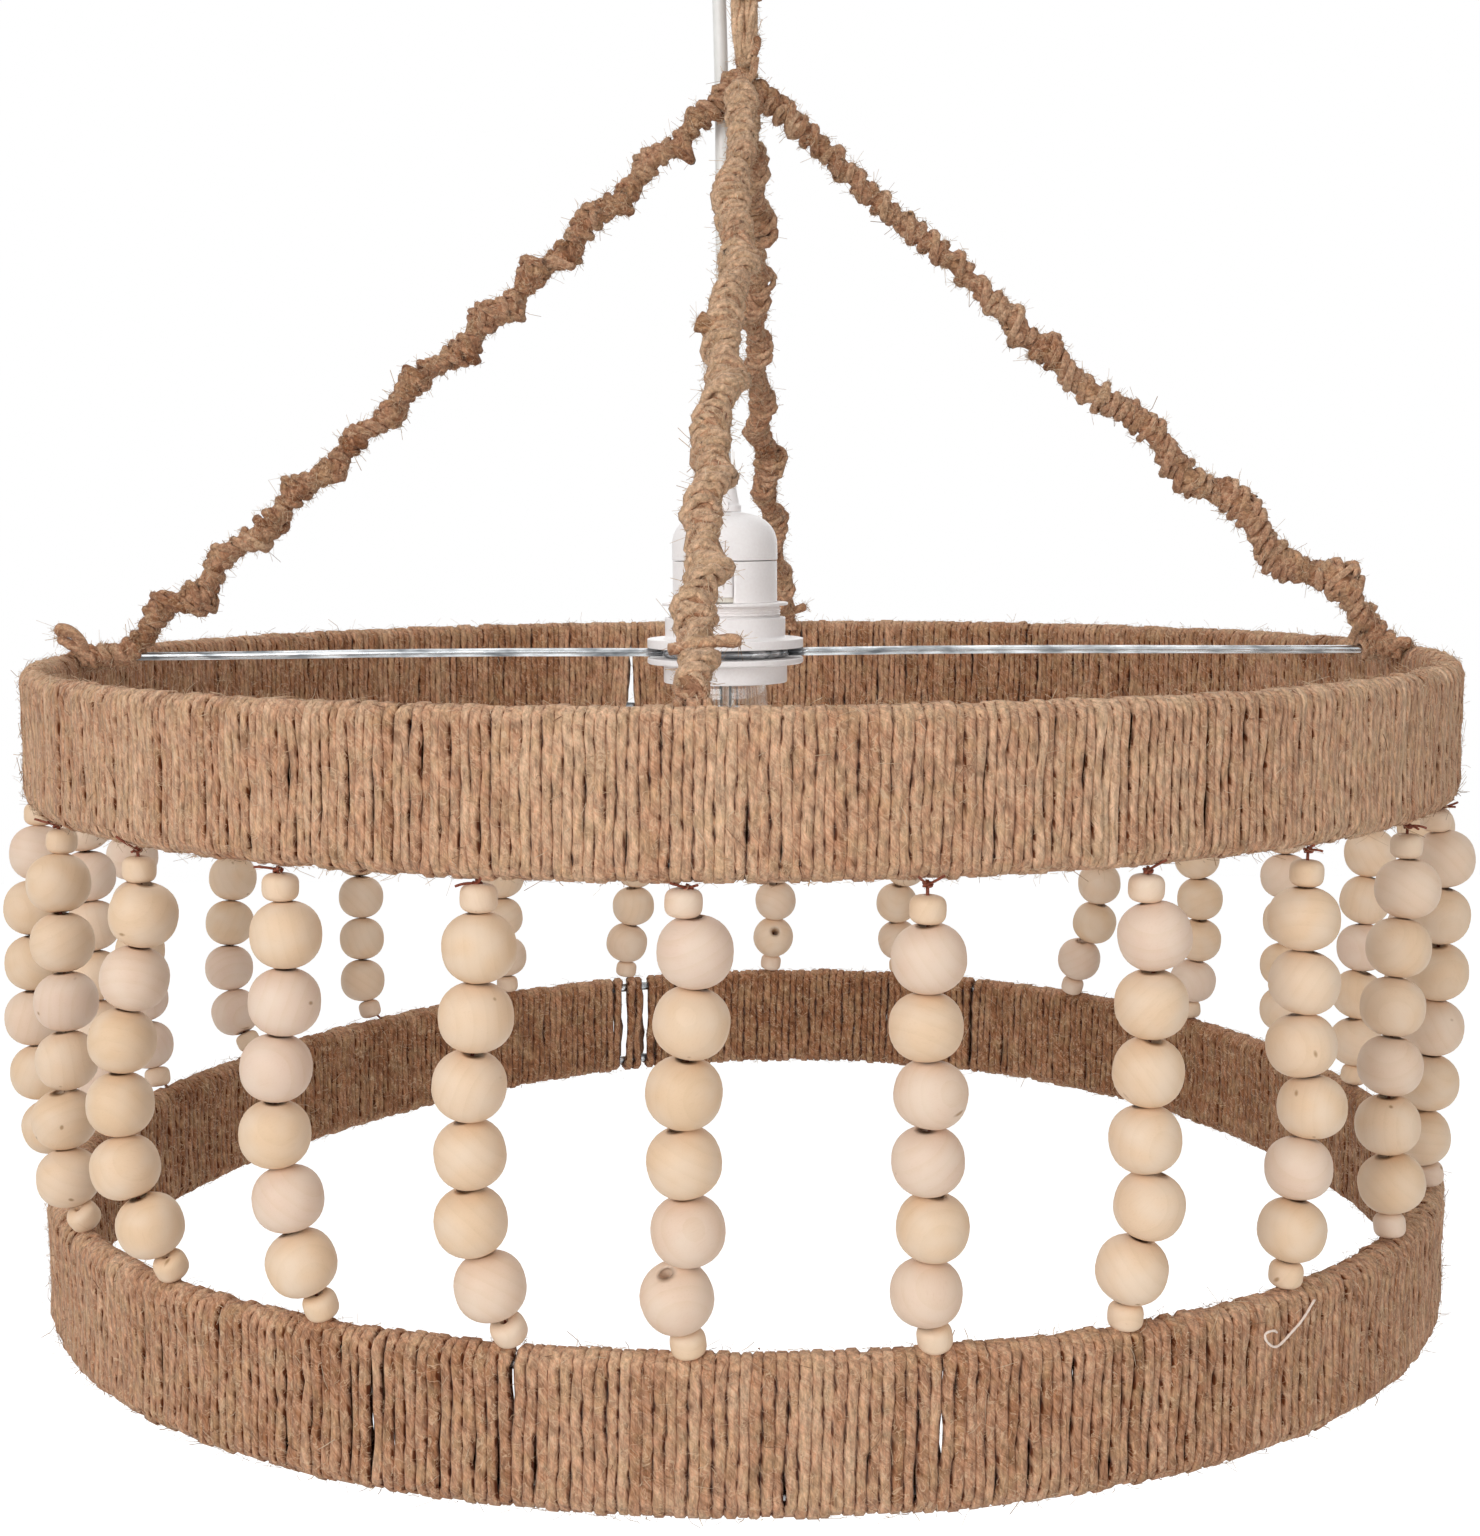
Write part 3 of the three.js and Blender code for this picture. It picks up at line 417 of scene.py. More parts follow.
@dataclass(frozen=True)
class JuteTwine(Finish):
    """Two-ply jute, spun and twisted: slanting plies, long dull fibres and a few dark specks of bark."""

    shades: tuple[str, str, str, str] = ("#6C4027", "#9E6D4C", "#C29374", "#E0BB9A")
    straw: str = "#C2A27A"
    # Painted shade: the colour of the gaps between turns.
    gap_shade: str = "#5C2B0B"
    stain: str = "#5F3C24"
    lay: float = 10.6
    ply_relief: float = 0.35
    plies: float = 2.0
    roundness: float = 9.4
    gap_shade_share: float = 0.96
    hair: str = "#DDBD9C"
    hair_share: float = 0.75
    felt: tuple[float, float, float] = (1.0, 1.0, 0.26)
    felt_range: tuple[float, float] = (0.56, 1.34)
    matted: float = 0.7

    def inputs(self, tree: Tree) -> Inputs:
        """Plies are stripes where length over lay plus the turn round the twine is whole.

        Fibres lie along them. Where a ply dips at the twine's sides, painted shade darkens the gap to the
        next turn.
        The cosine of twice the angle round the twine picks the sides, the ply's own wave picks the dips, and
        a slow noise leaves out the places where turns are matted together, which are fewer where the tone is
        low. A fine noise drawn out along the turns lights and darkens single fibres. Loose hairs are thin
        lines where a distorted noise passes one half.
        """
        new = partial(add, tree)
        uv = new("UVMap", uv_map="UVMap")
        split = new("SeparateXYZ", {0: uv}).node.outputs
        across = new("Math", {0: split[0], 1: self.plies / self.roundness}, operation="MULTIPLY")
        wander = new("TexNoise", {"Vector": uv, "Scale": 0.16, "Detail": 1.0})
        loose = new("Math", {0: wander, 1: 0.9, 2: across}, operation="MULTIPLY_ADD")
        turns = new("Math", {0: split[1], 1: self.plies / self.lay, 2: loose}, operation="MULTIPLY_ADD")
        angle = new("Math", {0: turns, 1: TURN}, operation="MULTIPLY")
        wave = new("Math", {0: angle}, operation="COSINE")
        ply = new("Math", {0: wave, 1: 0.5, 2: 0.5}, operation="MULTIPLY_ADD")
        lane = new("Math", {0: turns, 1: 7.0}, operation="MULTIPLY")
        slow = new("Math", {0: split[1], 1: 0.30}, operation="MULTIPLY")
        thread = new("CombineXYZ", {0: lane, 1: slow})
        fibre = new("TexNoise", {"Vector": thread, "Scale": 1.0, "Detail": 4.0, "Roughness": 0.7})
        tone = new("Attribute", output="Fac", attribute_name="tone")
        place = new("TexCoord", output="Object")
        patch = new("TexNoise", {"Vector": place, "Scale": 90.0, "Detail": 3.0})
        mixed = new("Math", {0: tone, 1: 0.62, 2: -0.255}, operation="MULTIPLY_ADD")
        lit = new("Math", {0: fibre, 1: 0.95, 2: mixed}, operation="MULTIPLY_ADD")
        shade = new("Math", {0: patch, 1: 0.35, 2: lit}, operation="MULTIPLY_ADD")
        # The ply wave adds a little to the colour at each ply's crest: painted light on the plies' relief,
        # with painted shade in the troughs between them.
        deep = new("Math", {0: ply, 1: 0.06, 2: shade}, operation="MULTIPLY_ADD")
        colour = new("ValToRGB", {"Fac": deep}, stops=list(zip((0.20, 0.46, 0.68, 1.0), self.shades)))
        hue = new("TexNoise", {"Vector": place, "Scale": 160.0, "Detail": 2.0})
        straw = new("MapRange", {0: hue, 1: 0.46, 2: 0.66, 3: 0.0, 4: 0.38})
        strawed = new("Mix", {0: straw, 6: colour, 7: self.straw}, data_type="RGBA")
        round_angle = new("Math", {0: split[0], 1: 2 * TURN / self.roundness}, operation="MULTIPLY")
        sides = new("Math", {0: round_angle}, operation="COSINE")
        flank = new("MapRange", {0: sides, 1: -0.30, 2: 0.65})
        long_place = new("Mapping", {"Vector": place, "Scale": self.felt})
        parting = new("TexNoise", {"Vector": long_place, "Scale": 420.0, "Detail": 2.0})
        apart = new("MapRange", {0: parting, 1: 0.40, 2: 0.52, 3: 1 - self.matted, 4: 1.2})
        # Painted shade in the gaps between turns: on the twine's flanks, deeper in the plies' troughs, and
        # more of it where the tone is low.
        low_tone_gaps = new("Math", {0: tone, 1: -1.3, 2: 0.64}, operation="MULTIPLY_ADD", use_clamp=True)
        gaps = new("Math", {0: apart, 1: low_tone_gaps}, operation="ADD")
        open_flank = new("Math", {0: flank, 1: gaps}, operation="MULTIPLY")
        relief = new("Math", {0: fibre, 1: 0.8, 2: ply}, operation="MULTIPLY_ADD")
        dips = new("MapRange", {0: relief, 1: 1.05, 2: 0.50, 3: 0.16, 4: self.gap_shade_share})
        dark = new("Math", {0: open_flank, 1: dips}, operation="MULTIPLY")
        down = new("TexNoise", {"Vector": long_place, "Scale": 820.0, "Detail": 4.0, "Roughness": 0.72})
        value = new("MapRange", {0: down, 1: 0.33, 2: 0.67, 3: self.felt_range[0], 4: self.felt_range[1]})
        felted = new("HueSaturation", {"Color": strawed, "Value": value})
        # The painted gap shade is mixed in here.
        gap_shaded = new("Mix", {0: dark, 6: felted, 7: self.gap_shade}, data_type="RGBA")
        curl = new("TexNoise", {"Vector": place, "Scale": 210.0, "Detail": 2.5, "Distortion": 1.2})
        off = new("Math", {0: curl, 1: 0.5}, operation="SUBTRACT")
        away = new("Math", {0: off}, operation="ABSOLUTE")
        hair = new("MapRange", {0: away, 1: 0.0, 2: 0.018, 3: self.hair_share, 4: 0.0})
        haired = new("Mix", {0: hair, 6: gap_shaded, 7: self.hair}, data_type="RGBA")
        spot = new("TexNoise", {"Vector": place, "Scale": 130.0, "Detail": 2.0})
        bark = new("MapRange", {0: spot, 1: 0.68, 2: 0.80, 3: 0.0, 4: 0.75})
        final = new("Mix", {0: bark, 6: haired, 7: self.stain}, data_type="RGBA")
        bump = new("Bump", {"Height": relief, "Distance": self.ply_relief * MM, "Strength": 1.0})
        return {
            "Base Color": final, "Normal": bump, "Roughness": 0.92, "Specular IOR Level": 0.06,
            "Sheen Weight": 0.10,
            "Sheen Roughness": 0.6,
        }


@dataclass(frozen=True)
class JuteFibre(Finish):
    """Single jute fibres, which catch the light: pale."""

    shades: tuple[str, str, str] = ("#7A5236", "#C7A482", "#E6D2B6")

    def inputs(self, tree: Tree) -> Inputs:
        """Fibres differ in shade by their tone."""
        tone = add(tree, "Attribute", output="Fac", attribute_name="tone")
        colour = add(tree, "ValToRGB", {"Fac": tone}, stops=list(zip((0.0, 0.35, 1.0), self.shades)))
        return {"Base Color": colour, "Roughness": 0.7, "Specular IOR Level": 0.3}


@dataclass(frozen=True)
class BeadWood(Finish):
    """Turned and tumbled pale hardwood, unvarnished: faint growth bands, short pores and a rare knot."""

    shades: tuple[str, str, str] = ("#E4C4A1", "#EACCAD", "#E5CAB7")
    line: str = "#D9BA94"
    pore: str = "#C79F75"
    blotch: str = "#EBD9C6"
    knot: str = "#9C7448"
    ring_mm: float = 3.4

    def inputs(self, tree: Tree) -> Inputs:
        """Growth bands are a wave over the bead's grain, bent by noise; pores are noise drawn along it."""
        new = partial(add, tree)
        place = new("Attribute", output="Vector", attribute_name="place")
        tone = new("Attribute", output="Fac", attribute_name="tone")
        base = new("ValToRGB", {"Fac": tone}, stops=list(zip((0.0, 0.5, 1.0), self.shades)))
        wave = new(
            "TexWave",
            {
                "Vector": place, "Scale": 0.314 / self.ring_mm, "Distortion": 3.0, "Detail": 2.0,
                "Detail Scale": 0.4,
            },
            "Fac", wave_type="BANDS", bands_direction="X", wave_profile="SAW",
        )
        band = new("MapRange", {0: wave, 1: 0.55, 2: 1.0, 3: 0.0, 4: 0.24})
        grained = new("Mix", {0: band, 6: base, 7: self.line}, data_type="RGBA")
        drawn = new("Mapping", {"Vector": place, "Scale": (3.2, 3.2, 0.35)})
        pore = new("TexNoise", {"Vector": drawn, "Scale": 1.0, "Detail": 3.0})
        dark = new("MapRange", {0: pore, 1: 0.54, 2: 0.78, 3: 0.0, 4: 0.20})
        pored = new("Mix", {0: dark, 6: grained, 7: self.pore}, data_type="RGBA")
        blotch = new("TexNoise", {"Vector": place, "Scale": 0.11, "Detail": 1.0})
        warm = new("MapRange", {0: blotch, 1: 0.35, 2: 0.7, 3: 0.0, 4: 0.45})
        soft = new("Mix", {0: warm, 6: pored, 7: self.blotch}, data_type="RGBA")
        cell = new("Mapping", {"Vector": place, "Scale": (0.10, 0.10, 0.028)})
        knots = new("TexVoronoi", {"Vector": cell, "Scale": 1.0})
        heart = new("MapRange", {0: knots, 1: 0.030, 2: 0.075, 3: 0.75, 4: 0.0})
        final = new("Mix", {0: heart, 6: soft, 7: self.knot}, data_type="RGBA")
        bump = new("Bump", {"Height": pore, "Distance": 0.06 * MM, "Strength": 0.5})
        return {"Base Color": final, "Normal": bump, "Roughness": 0.55, "Specular IOR Level": 0.35}


@dataclass(frozen=True)
class Plain(Finish):
    """A material of one colour with fine unevenness: noise in its colour, its gloss and its relief."""

    colours: tuple[str, str]
    grain_mm: float
    relief_mm: float
    roughness: tuple[float, float]
    metallic: float = 0.0
    specular: float = 0.5
    subsurface: float = 0.0
    stretch: tuple[float, float, float] = (1.0, 1.0, 1.0)

    def inputs(self, tree: Tree) -> Inputs:
        """Noise of the grain's size mixes the two colours and moves the roughness between its two values."""
        new = partial(add, tree)
        scaled = new("Mapping", {"Vector": new("TexCoord", output="Object"), "Scale": self.stretch})
        noise = new("TexNoise", {"Vector": scaled, "Scale": 0.5 / (self.grain_mm * MM), "Detail": 4.0})
        spread = new("MapRange", {0: noise, 1: 0.35, 2: 0.68})
        colour = new("ValToRGB", {"Fac": spread}, stops=list(zip((0.0, 1.0), self.colours)))
        rough = new("MapRange", {0: spread, 3: self.roughness[0], 4: self.roughness[1]})
        bump = new("Bump", {"Height": noise, "Distance": self.relief_mm * MM, "Strength": 0.6})
        return {
            "Base Color": colour, "Roughness": rough, "Normal": bump, "Metallic": self.metallic,
            "Specular IOR Level": self.specular, "Subsurface Weight": self.subsurface,
            "Subsurface Radius": (1.5 * MM, 1.5 * MM, 1.5 * MM),
        }


@dataclass(frozen=True)
class LampGlass(Finish):
    """Blown soda-lime glass, clear: full transmission with a slight ripple."""

    tint: str = "#FBFDFD"

    def inputs(self, tree: Tree) -> Inputs:
        """The ripple is soft noise of some millimetres."""
        place = add(tree, "TexCoord", output="Object")
        noise = add(tree, "TexNoise", {"Vector": place, "Scale": 60.0, "Detail": 1.0})
        bump = add(tree, "Bump", {"Height": noise, "Distance": 0.15 * MM, "Strength": 0.4})
        return {
            "Normal": bump, "Base Color": self.tint, "Roughness": 0.0, "IOR": 1.5,
            "Transmission Weight": 1.0,
        }


# The bands' twine, with painted shade in the gaps at the sides of its turns.
TWINE = JuteTwine("jute_twine", Slot.JUTE)
# The knotted ropes' yarn: a shorter lay, softer plies and few gaps, with less painted shade in them.
ROPE = JuteTwine(
    "jute_rope_yarn", Slot.JUTE, lay=7.5, roundness=8.8, ply_relief=0.3, gap_shade_share=0.3, felt=(1, 1, 1),
    matted=0.2,
)
# Loose fibres: a pale fuzz along the edges.
FIBRE = JuteFibre("jute_fibre", Slot.JUTE)
# The beads: pale, dry and each a little different.
WOOD = BeadWood("tumbled_pale_wood", Slot.WOOD)
# Waxed cotton cord, dyed red brown: dull with a trace of wax.
STRING = Plain("waxed_cotton_string", Slot.JUTE, ("#93503A", "#6E3524"), 0.4, 0.03, (0.5, 0.7), specular=0.3)
# Moulded polycarbonate, white: an even satin with very fine spark grain.
PLASTIC = Plain(
    "moulded_white_polycarbonate", Slot.PLASTIC, ("#FCF8F7", "#F8F3F2"), 0.5, 0.006, (0.32, 0.4),
    subsurface=0.05,
)
# Powder coat on pressed steel: white orange peel.
ENAMEL = Plain("white_powder_coat", Slot.ENAMEL, ("#ECEBE8", "#E4E3DF"), 1.2, 0.03, (0.35, 0.45))
# Hot-dip galvanised wire: grey metal with dull and dark flecks drawn out along the wire.
ZINC = Plain(
    "galvanised_wire", Slot.ZINC, ("#D6D9DB", "#6C7074"), 1.6, 0.06, (0.14, 0.40), metallic=1.0,
    stretch=(0.25, 1, 1),
)
# Bright zinc plate on steel hooks and nuts: a clean grey shine with soft edges.
STEEL = Plain("bright_zinc_plate", Slot.STEEL, ("#C9CCCF", "#B4B7BA"), 1.0, 0.008, (0.2, 0.32), metallic=1.0)
# Nickel-plated brass, rolled thin: a warm grey mirror along the thread.
SHELL = Plain("nickelled_brass", Slot.BRASS, ("#D3CCB9", "#C2BAA4"), 0.8, 0.005, (0.16, 0.26), metallic=1.0)
# The bulb: clear, with bright edges.
GLASS = LampGlass("clear_lamp_glass", Slot.GLASS)
# Soft PVC flex: slightly see-through white with a dull gloss.
SHEATH = Plain(
    "white_pvc_sheath", Slot.SHEATH, ("#F2F1EE", "#EBEAE6"), 3.0, 0.02, (0.35, 0.45), subsurface=0.15,
)
# Glazed steatite: cream, smooth and glossy.
PORCELAIN = Plain("glazed_steatite", Slot.PORCELAIN, ("#E9E4D8", "#DFD9CB"), 1.0, 0.01, (0.15, 0.25))
# Drawn tungsten wire: a dark dull grey line.
FILAMENT = Plain("tungsten_wire", Slot.BRASS, ("#7C7A78", "#5E5C5A"), 0.3, 0.002, (0.3, 0.4), metallic=1.0)
# Undyed cotton thread: a pale matt end against the jute.
LOOSE_THREAD = Plain(
    "pale_loose_thread", Slot.JUTE, ("#F6E6DA", "#EBD6C6"), 0.4, 0.02, (0.8, 0.9), specular=0.2,
)


def redress(node: str, finish: Finish) -> None:
    """Gives a CAD node that stays visible a finish of this script."""
    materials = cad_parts[node].data.materials
    materials.clear()
    materials.append(finish.material)


# Layout.


@dataclass(frozen=True)
class Hoop:
    """The line of a pair of hoops, seen from above: a circle bent a little by two waves."""

    radius: float
    x: float
    y: float
    z: float
    waves: tuple[tuple[int, float, float], ...] = ()

    def reach(self, degrees: Array) -> Array:
        """The radius at an angle from the front: the circle's, times one plus each wave's two shares."""
        angle = np.radians(degrees)
        share = np.ones_like(angle)
        for n, c, s in self.waves:
            share = share + (c * np.cos(n * angle) + s * np.sin(n * angle))
        return self.radius * share

    def at(self, degrees: Array | float, outward: Array | float = 0.0, up: Array | float = 0.0) -> Array:
        """Places on the hoop, moved outward and up from the upper hoop's line."""
        degrees = np.asarray(degrees, float)
        angle = np.radians(degrees)
        reach = self.reach(degrees) + outward
        return xyz(self.x + reach * np.sin(angle), self.y - reach * np.cos(angle), self.z + up)

    @staticmethod
    def along(degrees: Array | float) -> Array:
        """The direction round the hoop at an angle."""
        angle = np.radians(np.asarray(degrees, float))
        return xyz(np.cos(angle), np.sin(angle), 0)


OUTLET = (-9.8, 10.2, 0.0)
UPPER = Hoop(245.0, -2.6, 0.0, -323.7)
LOWER = Hoop(242.0, 3.4, 4.5, -496.7, ((2, 0.0197, -0.0234), (3, -0.0302, 0.0132)))
HOLDER = np.array([-8.3, 0.0, UPPER.z])
RING_Z = -62.2
APEX = np.array([0, 0, -120.2])
# From the upper hoop of a band: down to its lower hoop, out to the twine's edges, and up to the wire bar.
HOOP_GAP = 35.5
BAND_EDGE = 5.0
BAR_UP = 4.05


# Camera and light.


@dataclass
class Studio:
    """The photograph's camera, and plain soft light in a white room."""

    eye: tuple[float, float, float] = (-3.2, -783.3, -274.1)
    pitch: float = math.radians(90 - 6.423)
    roll: float = -0.006
    lens: float = 50.35
    floor_z: float = -1400.0

    def camera(self) -> None:
        """Places the camera as the photograph was taken."""
        data = bpy.data.cameras.new("camera")
        data.lens, data.sensor_width, data.sensor_fit = self.lens, 36.0, "AUTO"
        data.clip_start, data.clip_end = 0.01, 50.0
        camera = bpy.data.objects.new("camera", data)
        turn = Euler((self.pitch, 0, 0)).to_matrix() @ Matrix.Rotation(self.roll, 3, "Z")
        camera.matrix_world = Matrix.Translation([c * MM for c in self.eye]) @ turn.to_4x4()
        bpy.context.scene.collection.objects.link(camera)
        bpy.context.scene.camera = camera

    def lamp(self, name: str, place: tuple[float, float, float], size: float, power: float) -> None:
        """A square soft light that faces the middle of the lamp."""
        data = bpy.data.lights.new(name, "AREA")
        data.shape, data.size, data.energy = "SQUARE", size, power
        light = bpy.data.objects.new(name, data)
        light.location = place
        aim = Vector((0, 0, -0.42)) - light.location
        light.rotation_euler = aim.to_track_quat("-Z", "Y").to_euler()
        bpy.context.scene.collection.objects.link(light)

    @staticmethod
    def seen(tree: Tree, low: float, high: float) -> Socket:
        """A value that is high for the camera and for glossy and clear surfaces, and low for other light."""
        path = add(tree, "LightPath").node.outputs
        rays = {0: path["Is Camera Ray"], 1: path["Is Transmission Ray"]}
        direct = add(tree, "Math", rays, operation="MAXIMUM")
        clear = add(tree, "Math", {0: direct, 1: path["Is Glossy Ray"]}, operation="MAXIMUM")
        return add(tree, "MapRange", {0: clear, 3: low, 4: high})

    def world(self) -> None:
        """White to the camera and to glossy and clear surfaces, softer as a light."""
        world = bpy.data.worlds.new("studio_world")
        world.use_nodes = True
        tree = world.node_tree
        white = {"Color": (1, 1, 1, 1), "Strength": self.seen(tree, 0.34, 1.0)}
        feed(tree, tree.nodes["Background"], white)
        bpy.context.scene.world = world

    def floor(self) -> None:
        """A white floor far under the lamp, white to the camera except for its shadow."""
        half = 6.0
        mesh = bpy.data.meshes.new("studio_floor")
        corners = [(-half, -half), (half, -half), (half, half), (-half, half)]
        mesh.from_pydata([(x, y, self.floor_z * MM) for x, y in corners], [], [(0, 1, 2, 3)])
        material = bpy.data.materials.new("studio_white")
        material.use_nodes = True
        tree = material.node_tree
        feed(tree, tree.nodes["Principled BSDF"], {
            "Base Color": (0.8, 0.8, 0.8, 1), "Roughness": 0.9, "Emission Color": (1, 1, 1, 1),
            "Emission Strength": self.seen(tree, 0.0, 0.74),
        })
        mesh.materials.append(material)
        floor = bpy.data.objects.new("studio_floor", mesh)
        bpy.context.scene.collection.objects.link(floor)

    def build(self) -> None:
        """Camera, light and floor."""
        self.camera()
        self.world()
        self.floor()
        self.lamp("key", (-1.1, -1.75, 0.35), 1.5, 27.0)
        self.lamp("fill", (1.3, -1.6, -0.5), 1.4, 9.0)
        self.lamp("top", (0.0, 0.2, 1.9), 2.0, 15.0)
        self.lamp("back", (0.4, 2.6, 0.6), 2.2, 10.0)
        bpy.context.scene.view_settings.view_transform = "Standard"


# Cords.


@dataclass
class PowerCable:
    """The white mains flex from the gland up to the outlet in the ceiling."""

    radius: float = 2.5
    tail_top: float = -12.1
    tail_foot: float = -42.2

    def route(self) -> Array:
        """The route's points, as the CAD has them."""
        z = UPPER.z
        return np.array([
            (-8.3, 0, z + 53.1), (-8.3, 0, z + 69.7), (-8.3, 4.175, z + 134.1), (-8.3, 8.35, z + 198.5),
            (-9.05, 9.275, -83.35), (-9.8, 10.2, -52), (-9.8, 10.2, -46.5),
        ])

    def build(self) -> None:
        """The flex is a round tube on a curve through the route's points."""
        path = spline(self.route(), 60)
        surface = Surface().tube(path, self.radius, ALONG_X, 24)
        cable = surface.build("power_flex", SHEATH, Body.FRAME, "power_cable")
        length = float(run_length(path)[-1]) * MM
        tail = np.linspace((*OUTLET[:2], self.tail_foot), (*OUTLET[:2], self.tail_top), 12)
        surface = Surface().tube(tail, self.radius, ALONG_X, 24)
        piece = surface.build("flex_tail", SHEATH, Body.CEILING, "cable_tail")


@dataclass(frozen=True)
class RopeLine:
    """A side rope: its tie on the band, its line as the CAD has it, and how its knots stand out.

    The ridge of knots winds round the rope: it faces up at the first of the turns, down at the second.
    The ridge and the bow are pairs of distance from the binding and height in millimetres.
    """

    name: str
    node: str
    degrees: float
    aside: tuple[float, ...]
    rise: tuple[float, ...]
    turns: tuple[float, ...]
    ridge: tuple[tuple[float, float], ...]
    bow: tuple[tuple[float, float], ...]
    core: float
    seed: int
    tone: float = 0.45
    flip: float = 1.0


# The ropes' tones differ as painted light and shade on one yarn: the front rope's 0.95 is lighter and the
# left rope's 0.33 darker than the others.
SIDE_ROPES = (
    RopeLine(
        "front_rope", "rope_front", -3, (0, 1.2, 2, 1.8, 0, 0, 0, 0), (0,) * 8,
        (10, 25, 64, 100, 139, 164, 192, 210, 229, 249, 268, 284, 300),
        ((0, 0.6), (20, 1.2), (64, 3.4), (139, 3.0), (164, 4.2), (230, 3.6), (284, 2.0)),
        ((0, 0), (64, 1.2), (100, 0.2), (139, 0.3), (180, -0.6), (220, 0.4), (260, 0), (300, 0)),
        2.8, 3, 0.95,
    ),
    RopeLine(
        "right_rope", "rope_right", 90, (0,) * 8, (0, 0, -1, -6.5, -2.5, -5, -4, 0),
        (
            4, 10, 16, 21, 27, 33, 38, 44, 50, 55, 61, 67, 72, 78, 84, 90, 96, 103, 112, 119, 128, 149, 174,
            197, 218, 244, 266, 287,
        ),
        ((0, 0.5), (108, 0.6), (119, 3.0), (150, 2.0), (174, 3.2), (218, 4.2), (266, 4.6), (287, 2.0)),
        (
            (0, -1.5), (20, -1.5), (44, -3.0), (60, -3.0), (76, -1.8), (92, -1), (104, 0.6), (116, 2),
            (140, 0.9), (160, -0.2), (188, 0.2), (198, -0.2), (210, 1.8), (220, 2.8), (232, 1.0),
            (246, -0.6), (256, 1.0), (266, 2.4), (278, 0), (290, -3),
        ),
        2.7, 5, 0.45, -1.0,
    ),
    RopeLine(
        "back_rope", "rope_back", 174.6, (0, 1.4, 0, -2, -2.6, -2.2, -2.6, 0), (0,) * 8,
        (10, 25, 38, 53, 70, 86, 103, 117, 134, 151, 168, 188, 210, 231, 250, 270, 290),
        ((0, 2.6), (53, 4.0), (86, 4.2), (117, 4.0), (168, 3.4), (188, 4.4), (290, 3.0)),
        ((0, 0), (50, 2), (100, 2.7), (216, 2.8), (232, 1.6), (290, 0.6)), 2.4, 7,
    ),
    RopeLine(
        "left_rope", "rope_left", -90, (0,) * 8, (0, -2.2, -4.5, -6, -10, -11, -12, 0),
        (9, 19, 28, 46, 61, 74, 88, 103, 111, 123, 145, 160, 175, 189, 203, 222, 240, 257, 270, 284, 300),
        (
            (0, 2.8), (28, 3.4), (61, 3.6), (123, 3.8), (160, 2.6), (203, 3.0), (240, 4.4), (257, 4.6),
            (284, 2.0),
        ),
        (
            (0, -3), (8, -1.5), (36, -0.8), (68, -1.1), (100, -1.2), (130, -1.0), (152, 1.3), (184, 2),
            (216, 1.6), (238, 3.2), (252, 0.8), (266, 1.2), (275, -1.8), (284, -6.6), (292, -7), (300, -6),
        ),
        2.2, 11, 0.33,
    ),
)


def radial_at(angle: Array, side: Array, up: Array) -> Array:
    """The directions that lie at an angle from side towards up."""
    return np.cos(angle)[..., None] * side + np.sin(angle)[..., None] * up


def curling(start: Array, lean: Array, curl: Array, length: Array, share: float) -> Array:
    """Curves of three places: a run along lean, and a share of it along curl that grows as its square."""
    t = np.array([0, 0.45, 1])[None, :, None]
    return start[:, None] + lean[:, None] * length * t + curl[:, None] * length * share * t**2


